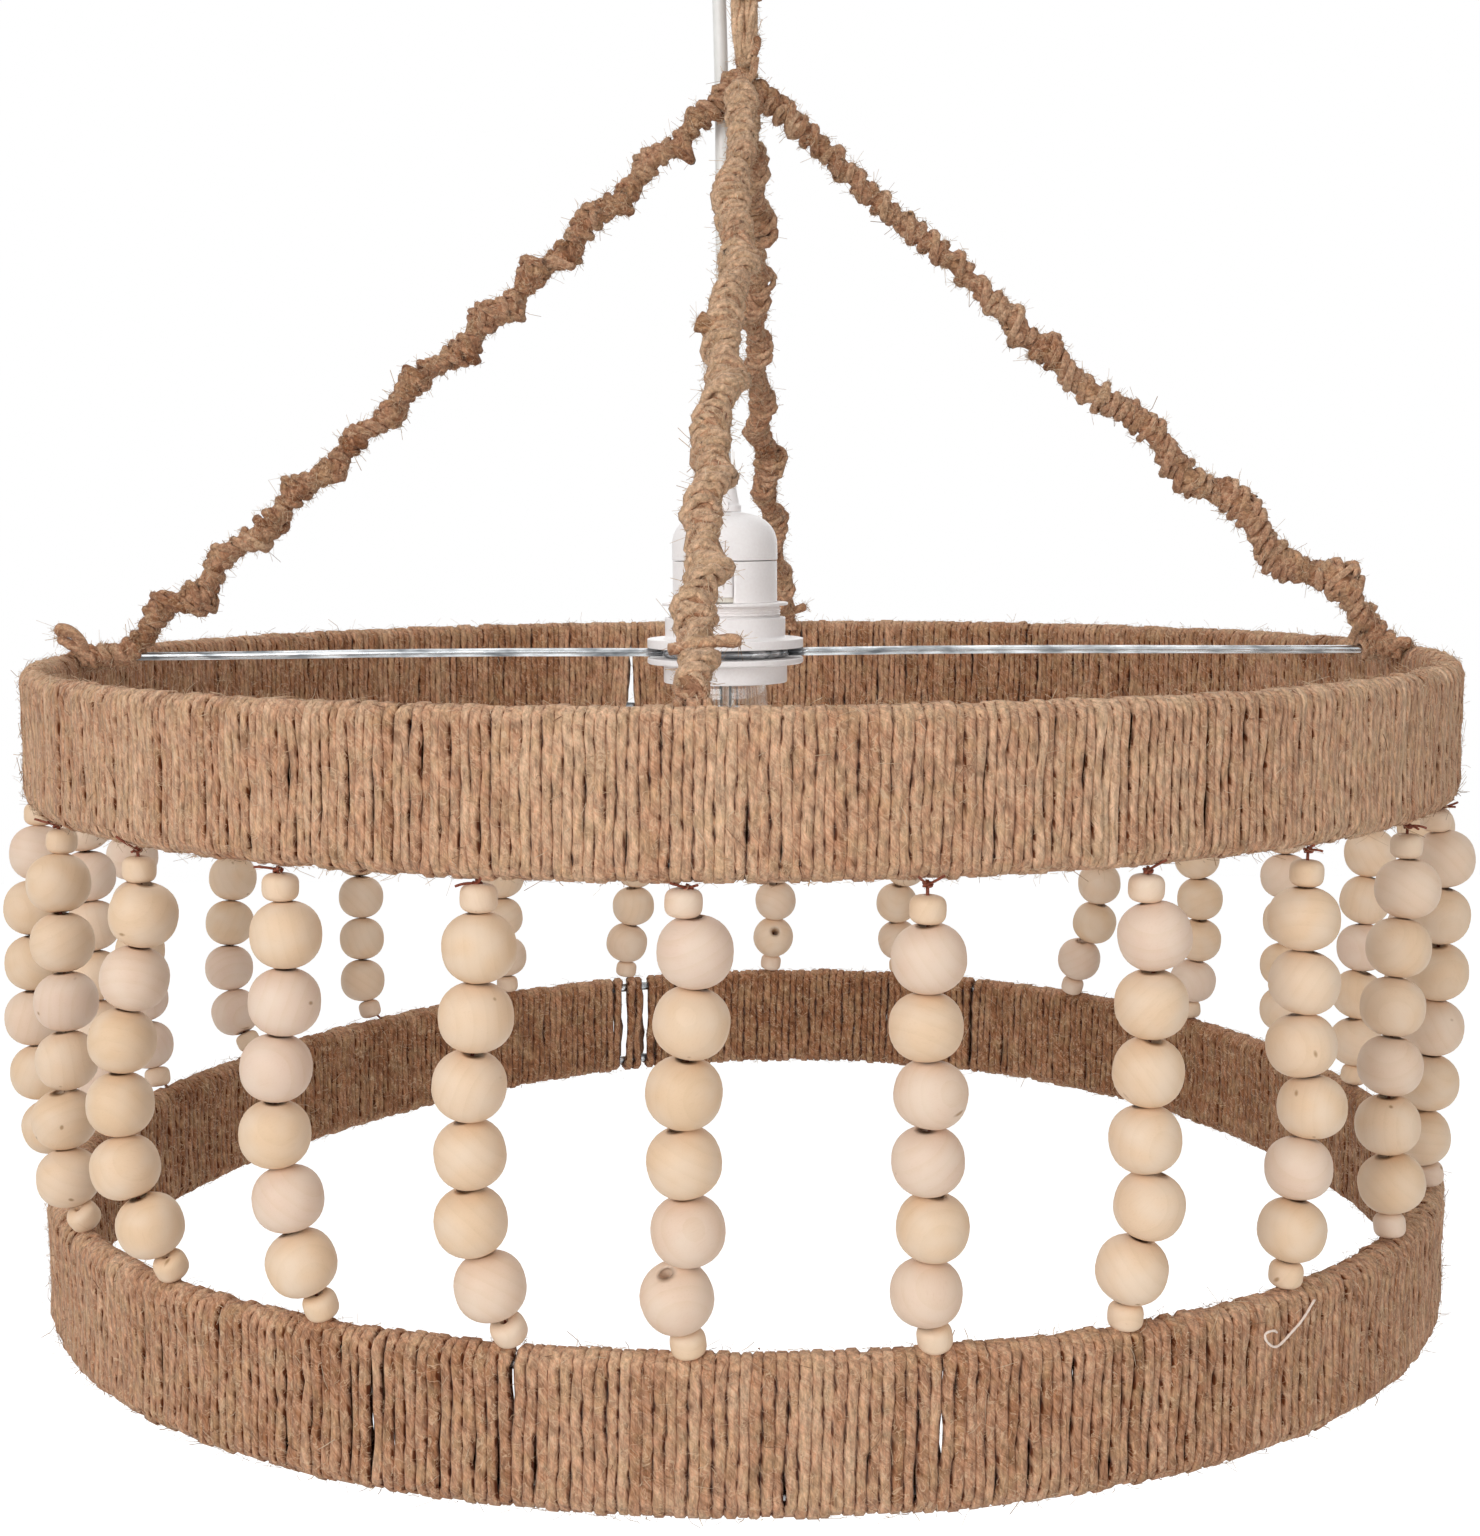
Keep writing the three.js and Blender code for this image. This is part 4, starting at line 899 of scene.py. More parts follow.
class Cordage:
    """Knotted jute cords and the loose fibres on them, with their own random numbers."""

    def __init__(self, seed: int) -> None:
        """Starts with no cord."""
        self.rng = np.random.default_rng(seed)
        self.noise = partial(smooth_noise, self.rng)
        self.cords, self.fibres = Surface(), Surface()

    def build(self, name: str, fibre_name: str, node: str) -> None:
        """Makes the two pieces, of which the cords stand for the node."""
        self.cords.build(name, ROPE, Body.FRAME, node)
        self.fibres.build(fibre_name, FIBRE, Body.FRAME)

    def sinnet(
        self, path: Array, run: Array, side: Array, facing: Array, ridge: Array, core: float, cord: float,
        tone: float, hairs: int,
    ) -> None:
        """Half knots tied one on the next.

        Two cords go round a core opposite ways and cross once a knot on the ridge and once behind it, one
        over the other. The ridge stands out at the cosine of the angle from its side to the power 1.7, and a
        cord leans along the rope by the sine of that angle.

        Args:
            path: The rope's middle line.
            run: Each place's distance along it.
            side: The direction from which angles count.
            facing: The angle of the ridge of knots at each place.
            ridge: The ridge's height at each place.
            core: The radius at which the cords lie.
            cord: The cords' own radius.
            tone: Their shade.
            hairs: How many loose fibres.
        """
        count = len(path)
        tangent = unit(np.gradient(path, axis=0))
        up = np.cross(tangent, side)
        phase = TURN * run / (3.4 * cord) + 1.3 * self.noise((count,), 60)
        swell = 1 + 0.13 * self.noise((count,), 26)
        crest = ridge * (1 + 0.26 * self.noise((count,), 24))
        cords, around, tones = [], [], []
        for way in (-1, 1):
            radial = radial_at(facing + way * phase, side, up)
            lean = np.maximum(np.cos(phase), 0) ** 1.7
            over = way * 0.55 * cord * np.cos(phase + 0.3 * way)
            reach = core * swell + crest * lean + over
            slant = 1.45 * cord * np.sin(phase) * (1 + 0.25 * self.noise((count,), 30))
            cords.append(path + reach[:, None] * radial + slant[:, None] * tangent)
            around.append(radial)
            tones.append(np.clip(tone + 0.16 * self.noise((count,), 50), 0, 1))
        thick = cord * (1 + 0.10 * self.noise((2, count), 12))
        self.cords.tube(np.stack(cords), thick, np.stack(around), 7, tone=np.stack(tones))
        thin = slice(None, None, 12)
        # Painted shade: the core under the cords is darker than they are, where it shows between them.
        inner = path + (0.42 * crest)[:, None] * radial_at(facing, side, up)
        self.cords.tube(inner[thin], core * 0.95 + 0.38 * crest[thin], side[thin], 9, tone=0.3)
        self.fuzz(np.concatenate(cords), np.concatenate(around), 0.9 * cord, hairs)

    def lump(self, centre: Array, radius: float, axis: Array, cord: float, tone: float) -> None:
        """A tight knot: a trefoil, whose reach from its axis is two plus the cosine of three half turns.

        Args:
            centre: Its middle.
            radius: Its outer radius.
            axis: The way that it faces.
            cord: Its cord's radius.
            tone: Its shade.
        """
        t = even_angles(72)
        axis = unit(np.asarray(axis, float))
        side = unit(np.cross(axis, np.array([0.13, 0.9, 0.37])))
        scale = (radius - cord) / 3
        reach = (2 + np.cos(3 * t)) * scale
        flat = reach[:, None] * radial_at(2 * t, side, np.cross(axis, side))
        path = centre + flat + (np.sin(3 * t) * scale * 1.1)[:, None] * axis
        self.cords.tube(path, cord, axis + 0.05 * side, 7, wrap=True, tone=tone)

    def stub(
        self, origin: Array, marks: list[Array | tuple[float, ...]], radius: float, tone: float,
    ) -> None:
        """A cut cord end on a curve: it swells and turns brown where it frays.

        Args:
            origin: Where the marks count from.
            marks: The curve's points.
            radius: Its radius.
            tone: The shade of its cut end.
        """
        path = spline(origin + np.array(marks, float), 18)
        share = np.linspace(0, 1, 18)
        swell = radius * (1 + 0.25 * share**3) * (1 + 0.06 * self.noise((18,), 3))
        swell[-2:] *= np.array([0.92, 0.6])
        self.cords.tube(
            path, swell, np.array([0.31, 0.24, 0.9]), 10, tone=0.5 + (tone - 0.5) * share[None] ** 2,
        )
        self.fuzz(path, None, radius, 90, 0.8)
        tip = np.linspace(path[-2], path[-1] + 0.5 * (path[-1] - path[-2]), 4)
        self.fuzz(tip, None, 0.4 * radius, 70, 1.2)

    def bar_turns(self, cord: float, start: float, stop: float) -> None:
        """Turns of cord round the wire bar: a helix about the bar, from one place along X to another."""
        count = max(2, round(abs(stop - start) / 2.7))
        t = np.linspace(0, 1, 18 * count)
        angle = TURN * count * t
        reach = 2.85 + 0.25 * self.noise((len(t),), 14)
        line = start + (stop - start) * t + 0.5 * self.noise((len(t),), 20)
        path = xyz(line, reach * np.cos(angle), UPPER.z + BAR_UP + reach * np.sin(angle))
        radial = xyz(0, np.cos(angle), np.sin(angle))
        self.cords.tube(path, cord * (1 + 0.1 * self.noise((len(t),), 9)), radial, 8, tone=0.4)
        self.fuzz(path, radial, cord, 420)

    def fuzz(self, path: Array, outward: Array | None, reach: float, count: int, size: float = 1.0) -> None:
        """Loose fibres: thin curling tubes that start on a cord's surface and lean along it, mostly short.

        Args:
            path: The cord's line.
            outward: Which way is out at each place, or nothing where that is any way.
            reach: How far out they start.
            count: How many.
            size: A factor on their length.
        """
        rng = self.rng
        at = rng.integers(1, len(path) - 1, count)
        tangent = unit(path[at + 1] - path[at - 1])
        wild = rng.standard_normal((count, 3))
        radial = unit(np.cross(tangent, wild)) if outward is None else unit(outward[at] + 0.45 * wild)
        slope = rng.uniform(-1.2, 1.2, (count, 1))
        lean = unit(0.55 * radial + tangent * slope + 0.5 * rng.standard_normal((count, 3)))
        curl = unit(rng.standard_normal((count, 3)))
        length = size * np.minimum(0.45 + rng.exponential(0.75, (count, 1, 1)), 4.4)
        way = curling(path[at] + radial * (reach - 0.2), lean, curl, length, 0.9)
        thick = np.minimum(0.05 + rng.exponential(0.02, (count, 1)), 0.13)
        self.fibres.tube(
            way, thick, np.array([0.37, 0.61, 0.70]), 3, tone=rng.uniform(0.1, 0.95, (count, 1)),
        )


@dataclass
class Ropes:
    """The knotted side ropes, the binding where they meet and the main rope above it."""

    binding_radius: float = 8.0
    start_drop: float = 5.0
    rope_radius: float = 5.25
    knot_inset: float = 6.0
    knot_up: float = 8.0
    cord: float = 1.4
    yarn: float = 1.3
    lashing: float = 1.25
    places: int = 1500
    hairs: int = 8500

    def route(self, line: RopeLine) -> Array:
        """The rope's middle line: the straight line to its knot, moved along X and square to itself."""
        knot = UPPER.at(line.degrees, -self.knot_inset, self.knot_up)
        out = unit(knot * np.array([1, 1, 0]))
        steep = math.atan2(APEX[2] - self.start_drop - knot[2], float(np.hypot(knot[0], knot[1])))
        start = out * (self.binding_radius + 0.3 + self.rope_radius * math.sin(steep))
        start = start + (APEX[2] - self.start_drop) * UP
        rise = out * math.sin(steep) + math.cos(steep) * UP
        share = np.linspace(0, 1, len(line.aside))[:, None]
        points = start + (knot - start) * share
        points = points + np.array(line.aside)[:, None] * ALONG_X + np.array(line.rise)[:, None] * rise
        return spline(points, self.places)

    def dressed(self, line: RopeLine) -> tuple[Array, Array]:
        """The line that the knots follow, bowed up and down, with its lead from inside the binding.

        Args:
            line: The rope.

        Returns:
            The places and each place's distance from the binding.
        """
        path = self.route(line)
        run = run_length(path)
        side = self.upward(path, line.flip)
        bow = np.interp(run, *np.array(line.bow).T)
        bow = np.convolve(np.pad(bow, 12, mode="edge"), np.ones(25) / 25, mode="valid")
        path = path + bow[:, None] * side
        out = unit(path[0] * np.array([1, 1, 0]))
        lead = np.array([out * 1.5 + (APEX[2] + 1.0) * UP, out * 6.0 + (APEX[2] - 2.0) * UP])
        step = 9.5 / 24
        joined = spline(np.concatenate([lead, path[8:40:8]]), 48)
        before = joined[run_length(joined) < run_length(joined)[-1] - run[32] + run[8]]
        whole = np.concatenate([before[:-1], path[9:]])
        start = run[9] - (len(before) - 1) * step
        return whole, np.concatenate([np.linspace(start, run[9] - step, len(before) - 1), run[9:]])

    @staticmethod
    def upward(path: Array, flip: float) -> Array:
        """The direction square to the path and to Y: up beside the lamp, and to the left in front of it."""
        return flip * unit(np.cross(ALONG_Y, unit(np.gradient(path, axis=0))))

    def build(self) -> None:
        """Side ropes with their end knots, the binding and the main rope."""
        for line in SIDE_ROPES:
            work = Cordage(line.seed)
            path, run = self.dressed(line)
            side = self.upward(path, line.flip)
            facing = math.pi * np.interp(run, line.turns, np.arange(len(line.turns)))
            ridge = np.interp(run, *np.array(line.ridge).T)
            work.sinnet(path, run, side, facing, ridge, line.core, self.cord, line.tone, self.hairs)
            self.ends(work, path, run, side, line)
            work.build(line.name, line.name + "_fibres", line.node)
        self.binding()
        self.main_rope()

    def ends(self, work: Cordage, path: Array, run: Array, side: Array, line: RopeLine) -> None:
        """The rope's tie on the band's top hoop, a knot over it, and the cut ends that the photograph shows.

        Args:
            work: Where cords and fibres go.
            path: The rope's middle line.
            run: Each place's distance along it.
            side: The direction square to the rope that the photograph shows.
            line: The rope.
        """
        end = path[-1]
        t = np.linspace(0.0, 0.55, 12) * math.pi
        dive = np.clip(t / math.pi - 0.35, 0, 1) * 5.0
        for step, tone in ((-3.6, 0.35), (-1.2, 0.5), (1.3, 0.45), (3.7, 0.55)):
            uneven = 0.25 * work.rng.standard_normal() * t
            degrees = line.degrees + math.degrees(step / UPPER.radius) + uneven
            ring = UPPER.at(degrees, -6.6 * np.cos(t) - dive, 0.4 + 5.6 * np.sin(t) - 3.0 * dive)
            work.cords.tube(ring, self.cord, Hoop.along(degrees), 8, tone=tone)
            work.fuzz(ring, None, 1.2, 60)
        out = unit(np.array([end[0], end[1], 0.0]))
        work.lump(end - out * 1.0 + 0.4 * UP, 5.0, out + 0.4 * UP, self.cord, 0.42)
        work.fuzz(np.linspace(end - out * 3, end + out * 3, 6), None, 4.0, 160, 1.2)
        x = UPPER.at(line.degrees)[0]
        tie = np.array([x, 0, UPPER.z + BAND_EDGE])
        if line.node == "rope_left":
            work.bar_turns(self.cord, x + 11.0, x + 24.0)
            work.stub(tie, [(7, -2.5, -2), (6, -4, 4), (2.5, -5, 8), (-3, -5, 9)], 2.0, 0.25)
            work.stub(tie, [(9, -3.0, -2), (4, -4.5, 2), (-2, -5, 6)], 1.6, 0.30)
        elif line.node == "rope_right":
            work.bar_turns(self.cord, x - 19.0, x - 9.0)
            work.stub(tie, [(-13.5, 3.5, 15), (-17.5, 4.5, 8), (-21, 5.5, 1), (-22, 5.0, -4)], 1.9, 0.55)
            work.stub(tie, [(-9, -2, -1), (-6, -4.5, 1.5), (-2.5, -6, 1.0)], 1.9, 0.1)
            low = path[int(np.searchsorted(run, 124.0))]
            work.stub(low, [(0, 0, 0), (1.2, -2.5, -4.2), (-1.8, -3.0, -5.6)], 1.7, 0.0)
        elif line.node == "rope_front":
            last = path[int(np.searchsorted(run, 279.0))]
            work.lump(last, 5.6, np.array([0.2, -1, 0.6]), 1.5, 0.6)
            work.stub(last, [(-7, -3, -1.4), (0, -5, -0.2), (6, -4.5, 0.8), (11.5, -4, 0.8)], 1.6, 0.45)
            k = int(np.searchsorted(run, 139.0))
            low = path[k] + side[k] * 2.5
            marks = [low, low + side[k] * 3.8 + (0, -1.8, 0.4), low + side[k] * 6.6 + (0, -1.6, 1.2)]
            work.stub(np.zeros(3), marks, 2.8, 0.02)
        else:
            work.stub(end, [(0, -3, 1), (5, -5, 2.5), (9, -5, 4)], 1.8, 0.2)

    def binding(self) -> None:
        """The knot where the ropes meet: a short wide sinnet with cut ends."""
        work = Cordage(21)
        path = spline(APEX + np.array([(0.8, 0, 11), (-0.9, 0.2, 4), (0.3, -0.3, -3), (0.8, 0, -11.5)]), 150)
        run = run_length(path)
        facing = math.pi * np.interp(run, (0, 6, 12, 18, 24), np.arange(5))
        ridge = np.interp(run, (0, 5, 18, 24), (0.4, 2.2, 2.0, 1.0))
        work.sinnet(path, run, self.upward(path, 1.0), facing, ridge, 2.5, 1.4, 0.62, 1200)
        work.lump(APEX + (-3.4, -2.2, 2.5), 4.4, np.array([-0.8, -1.0, 0.2]), 1.3, 0.45)
        work.lump(APEX + (3.6, -2.4, -3.0), 4.6, np.array([0.8, -1.0, 0.2]), 1.3, 0.5)
        marks = APEX + np.array([(3.8, -3.4, 10), (2.6, -4.8, 4), (-1.8, -5.4, -3), (-4.2, -3.2, -10)])
        over = spline(marks, 30)
        work.cords.tube(over, 1.35, np.array([0.2, -1.0, 0.1]), 8, tone=0.6)
        work.fuzz(over, None, 1.2, 160)
        work.stub(APEX + (0, 0, 11), [(3.0, -1.6, 0), (4.2, -2.0, 3), (4.4, -2.0, 6.5)], 1.3, 0.05)
        work.build("apex_knot", "apex_knot_fibres", "apex_binding")

    def main_rope(self) -> None:
        """Jute yarns that fold over the hanging ring and run down together, loosely twisted.

        Each yarn keeps its place beside the fold's line and turns slowly round it.
        """
        work = Cordage(31)
        eye_top, half = RING_Z + 5.0, 5.6
        turn = np.linspace(0, math.pi, 9)
        arc = xyz(half * np.cos(turn), 0, eye_top - half + half * np.sin(turn))
        foot, throat = APEX[2] + 9.5, eye_top - 22
        up = np.array(
            [(1.3, 0.0, foot), (2.4, 0.1, (foot + throat) / 2), (2.2, 0, throat - 3), (4.4, 0, throat + 9)]
        )
        down = up[::-1] * np.array([-1, 1, 1])
        path = spline(np.concatenate([up, arc, down]), 260)
        run = run_length(path)
        side = ALONG_Y * np.ones((len(path), 1))
        out = np.cross(unit(np.gradient(path, axis=0)), side)
        narrow = 1 - 0.25 * np.exp(-(((path[:, 2] - foot - 3) / 8) ** 2))
        yarns, around = [], []
        for which in range(4):
            angle = TURN * run / 62 + which * TURN / 4 + 0.35 * work.noise((len(path),), 50)
            around.append(radial_at(angle, side, out))
            yarns.append(path + (1.35 * narrow)[:, None] * around[-1])
        # Painted light: the yarns' tone, far above the side ropes', makes the main rope lighter.
        shades = work.rng.uniform(1.55, 1.75, (4, 1))
        work.cords.tube(np.stack(yarns), self.yarn, np.stack(around), 8, tone=shades)
        for row in range(5):
            t = np.arange(29) * TURN / 28
            z = throat + 2.0 - row * 2.4 - 2.4 * t / TURN
            ring = xyz(5.3 * np.cos(t), 4.1 * np.sin(t), z)
            work.cords.tube(ring, self.lashing, xyz(np.cos(t), np.sin(t), 0), 7, tone=0.55)
        work.fuzz(np.concatenate(yarns), np.concatenate(around), 1.2, 1500, 1.2)
        work.build("main_rope_yarns", "main_rope_fibres", "main_rope")


# Bands.


@dataclass
class Band:
    """Two wire hoops wound round together with jute twine."""

    name: str
    hoop: Hoop
    body: Body
    slits: tuple[tuple[float, float, float, float], ...]
    seed: int
    wire: float = 2.0
    twine: float = 1.5
    pitch: float = 3.02
    tone: float = 0.53
    flat_steps: int = 9
    sides: int = 6
    # Painted shade on the inner side and painted light on the top edge, both as tone.
    painted_inner_shade: float = 0.36
    painted_top_light: float = 0.15
    flatness: float = 0.90
    sway: float = 0.27
    belly: float = 0.35
    loose: int = 12000
    long_loose: int = 50

    def angles(self, rng: np.random.Generator) -> Array:
        """Where each turn of twine stands, in degrees: nearly even steps between the slits.

        Args:
            rng: Random numbers.

        Returns:
            One angle for each turn, rising, and a last one a full turn after the first.
        """
        places = sorted(self.slits)
        starts = [a + w / 2 / self.hoop.radius * 180 / math.pi for a, w, *_ in places]
        ends = [a - w / 2 / self.hoop.radius * 180 / math.pi for a, w, *_ in places]
        ends = ends[1:] + [ends[0] + 360]
        runs = []
        for start, end in zip(starts, ends):
            count = max(2, round(math.radians(end - start) * self.hoop.radius / self.pitch))
            runs.append(np.linspace(start, end, count) + 0.020 * rng.standard_normal(count))
        turns = np.sort(np.concatenate(runs))
        return np.append(turns, turns[0] + 360)

    def parting(self, turns: Array, normal_out: Array, up: Array) -> Array:
        """How far turns beside a slit lean away from it.

        It is a bell curve of their distance from the slit, times the lean on the inner side, plus the splay
        times the depth below the top hoop.

        Args:
            turns: Where each turn stands, in degrees.
            normal_out: Each station's outward normal.
            up: Each station's height.

        Returns:
            Degrees to add, for each turn and station.
        """
        total = np.zeros((len(turns), len(up)))
        for place, _, lean, splay in self.slits:
            away = (turns - place + 180) % 360 - 180
            near = np.exp(-((away / 2.6) ** 2))
            aside = np.where(np.sign(away) == np.sign(lean), lean, 0.0)
            sideways = aside[:, None] * np.clip(-normal_out, 0, 1)
            opened = np.sign(away)[:, None] * splay * np.clip(-up / HOOP_GAP, 0, 1)
            total += near[:, None] * np.degrees((sideways + opened) / self.hoop.radius)
        return total

    def section(self) -> tuple[Array, Array, Array, Array]:
        """The line of one turn round both hoops: two straight sides and two half circles.

        Returns:
            Its outward and upward place, and its outward and upward normal, at each station.
        """
        reach = self.wire + 0.3 + self.twine - 0.1
        steps = self.flat_steps
        side_up = -HOOP_GAP * (1 - np.linspace(0, 1, steps, endpoint=False))
        bend = np.linspace(0, 1, 5, endpoint=False) * math.pi
        flat, level = np.ones(steps), np.zeros(steps)
        over = reach * np.sin(bend)
        up = np.concatenate([side_up, over, -HOOP_GAP - side_up, -HOOP_GAP - over])
        normal_out = np.concatenate([flat, np.cos(bend), -flat, -np.cos(bend)])
        normal_up = np.concatenate([level, np.sin(bend), level, -np.sin(bend)])
        return reach * normal_out, up, normal_out, normal_up

    @property
    def stations(self) -> int:
        """How many places one turn of twine has."""
        return 2 * self.flat_steps + 10

    def winding(self) -> None:
        """The twine: the section carried round the band in one unbroken spiral, a pitch a turn."""
        rng = np.random.default_rng(self.seed)
        turns = self.angles(rng)
        count = len(turns) - 1
        outward, up, normal_out, normal_up = self.section()
        share = np.arange(self.stations) / self.stations
        step = np.minimum(np.diff(turns), 1.1 * self.pitch / self.hoop.radius * 180 / math.pi)
        degrees = turns[:-1, None] + step[:, None] * share + self.parting(turns[:-1], normal_out, up)
        sway = smooth_noise(rng, (count, self.stations), 3) * self.sway
        degrees = degrees + np.degrees(sway * (1 - 0.5 * np.abs(normal_up)) / self.hoop.radius)
        lift = smooth_noise(rng, (count, self.stations), 3) * 0.20 + 0.14 * rng.standard_normal((count, 1))
        belly = -self.belly * np.sin(np.clip(-up / HOOP_GAP, 0, 1) * math.pi)
        out = outward + normal_out * (lift + belly)
        high = up + normal_up * lift
        path = self.hoop.at(degrees, out, high)
        reference = Hoop.along(degrees)
        uneven = 0.05 * rng.standard_normal((count, 1)) + 0.09 * smooth_noise(rng, (count, self.stations), 2)
        radius = self.twine * (1 + uneven)
        tone = self.tone + 0.07 * rng.standard_normal((count, 1))
        tone = tone + 0.06 * smooth_noise(rng, (1, count), 14).T
        # Painted shade: darker tone on the inner side. Painted light: lighter tone on the top edge.
        tone = tone - self.painted_inner_shade * np.clip(-normal_out, 0, 1)
        tone = tone + self.painted_top_light * np.clip(normal_up, 0, 1)
        tone = np.clip(tone + 0.06 * smooth_noise(rng, (count, self.stations), 5), 0, 1)
        length = float(np.sum(np.hypot(np.diff(outward, append=outward[0]), np.diff(up, append=up[0]))))
        start = rng.uniform(0, 400, (count, 1))
        along = np.concatenate([start + share * length, start + length], axis=1)
        line = path.reshape(1, -1, 3)
        around = np.broadcast_to(reference, path.shape).reshape(1, -1, 3)
        wide = np.tile(1.16 + 0.24 * np.abs(normal_up), count)[None, :, None, None]
        here = along[:, :-1].reshape(1, -1)
        here = np.append(here, here[:, -1:] + 5, axis=1)
        surface = Surface().tube(
            line, radius.reshape(1, -1), around, self.sides, wrap=True, tone=tone.reshape(1, -1), width=wide,
            thickness=self.flatness, along=here, around=TWINE.roundness,
        )
        uv = surface.uv[0].reshape(count, self.stations, self.sides, 4, 2)
        uv[:, -1, :, 2:, 1] = along[:, -1:, None]
        surface.build(self.name + "_twine", TWINE, self.body, self.name + "_winding")

    def hoops(self) -> None:
        """The two wires inside: circles of wire on the hoop's line."""
        degrees = np.arange(240) * 1.5
        for place, drop in (("top", 0.0), ("foot", HOOP_GAP)):
            surface = Surface().tube(self.hoop.at(degrees, 0.0, -drop), self.wire, UP, 10, wrap=True)
            node = f"{self.name}_{place}_hoop"
            surface.build(f"{self.name}_{place}_wire", ZINC, self.body, node)

    def fibres(self) -> None:
        """Loose jute fibres all over the winding: thin curling tubes that stand off its surface."""
        rng = np.random.default_rng(self.seed + 1)
        count = self.loose
        degrees = rng.uniform(-180, 180, count)
        outward, up, normal_out, normal_up = self.section()
        at = rng.choice(self.stations, count, p=self.fibre_share())
        slide = rng.uniform(0, 1, count)
        nxt = (at + 1) % self.stations
        out = outward[at] * (1 - slide) + outward[nxt] * slide
        high = up[at] * (1 - slide) + up[nxt] * slide
        flat = self.hoop.at(degrees, out, high)
        angle = np.radians(degrees)
        radial = xyz(np.sin(angle), -np.cos(angle), 0)
        normal = unit(radial * normal_out[at][:, None] + UP * normal_up[at][:, None])
        round_way = Hoop.along(degrees)
        upward = np.cross(normal, round_way)
        proud = np.where(rng.uniform(0, 1, (count, 1)) < 0.55, 0.8, 0.22)
        lean = unit(
            normal * proud * rng.uniform(0.3, 1.0, (count, 1)) + round_way * rng.normal(0, 0.6, (count, 1))
            + upward * rng.normal(0, 0.8, (count, 1))
        )
        curl = unit(np.cross(normal, rng.standard_normal((count, 3))) - 0.25 * normal)
        length = np.minimum(0.7 + rng.exponential(1.3, (count, 1, 1)), 5.0)
        length[:self.long_loose] += rng.uniform(1.0, 4.5, (self.long_loose, 1, 1))
        way = curling(flat + normal * (self.twine - 0.1), lean, curl, length, 0.6)
        thick = np.minimum(0.045 + rng.exponential(0.022, (count, 1)), 0.15)
        thick[:self.long_loose] += 0.05
        tone = rng.uniform(0.0, 0.9, (count, 1))
        tone[:self.long_loose] *= 0.3
        surface = Surface().tube(way, thick, np.array([0.41, 0.55, 0.73]), 3, tone=tone)
        surface.build(self.name + "_fibres", FIBRE, self.body)

    def fibre_share(self) -> Array:
        """How likely a fibre is at each station: more on the outer side and both edges than inside."""
        _, _, normal_out, normal_up = self.section()
        weight = np.where(normal_out < -0.9, 0.55, 1.0) + 1.1 * np.abs(normal_up)
        return weight / weight.sum()

    def thread_end(self, places: tuple[tuple[float, float], ...]) -> None:
        """A loose end of pale thread, curled on the outer side.

        Args:
            places: Where it lies: pairs of degrees from the front and height.
        """
        degrees, up = np.array(places).T
        proud = self.wire + 2 * self.twine + 0.5 + 0.6 * np.sin(np.linspace(0, math.pi, len(places)))
        path = spline(self.hoop.at(degrees, proud, up), 40)
        thick = 0.36 * (1 + 0.12 * np.sin(np.arange(40) * 1.9))
        surface = Surface().tube(path, thick, np.array([0.5, -0.8, 0.1]), 8)
        surface.build(self.name + "_thread_end", LOOSE_THREAD, self.body)

    def build(self) -> None:
        """Twine, wires and fibres."""
        self.winding()
        self.hoops()
        self.fibres()


# Beads.


@dataclass(frozen=True)
class Strand:
    """One string of beads: where it is tied, and how its beads stand.

    The kinks are how far each bead stands sideways as a share of a bead. The last two figures are how much
    lower than most its first and last beads hang.
    """

    upper: float
    lower: float
    kinks: tuple[float, ...]
    hung: float = 0.0
    dropped: float = 0.0


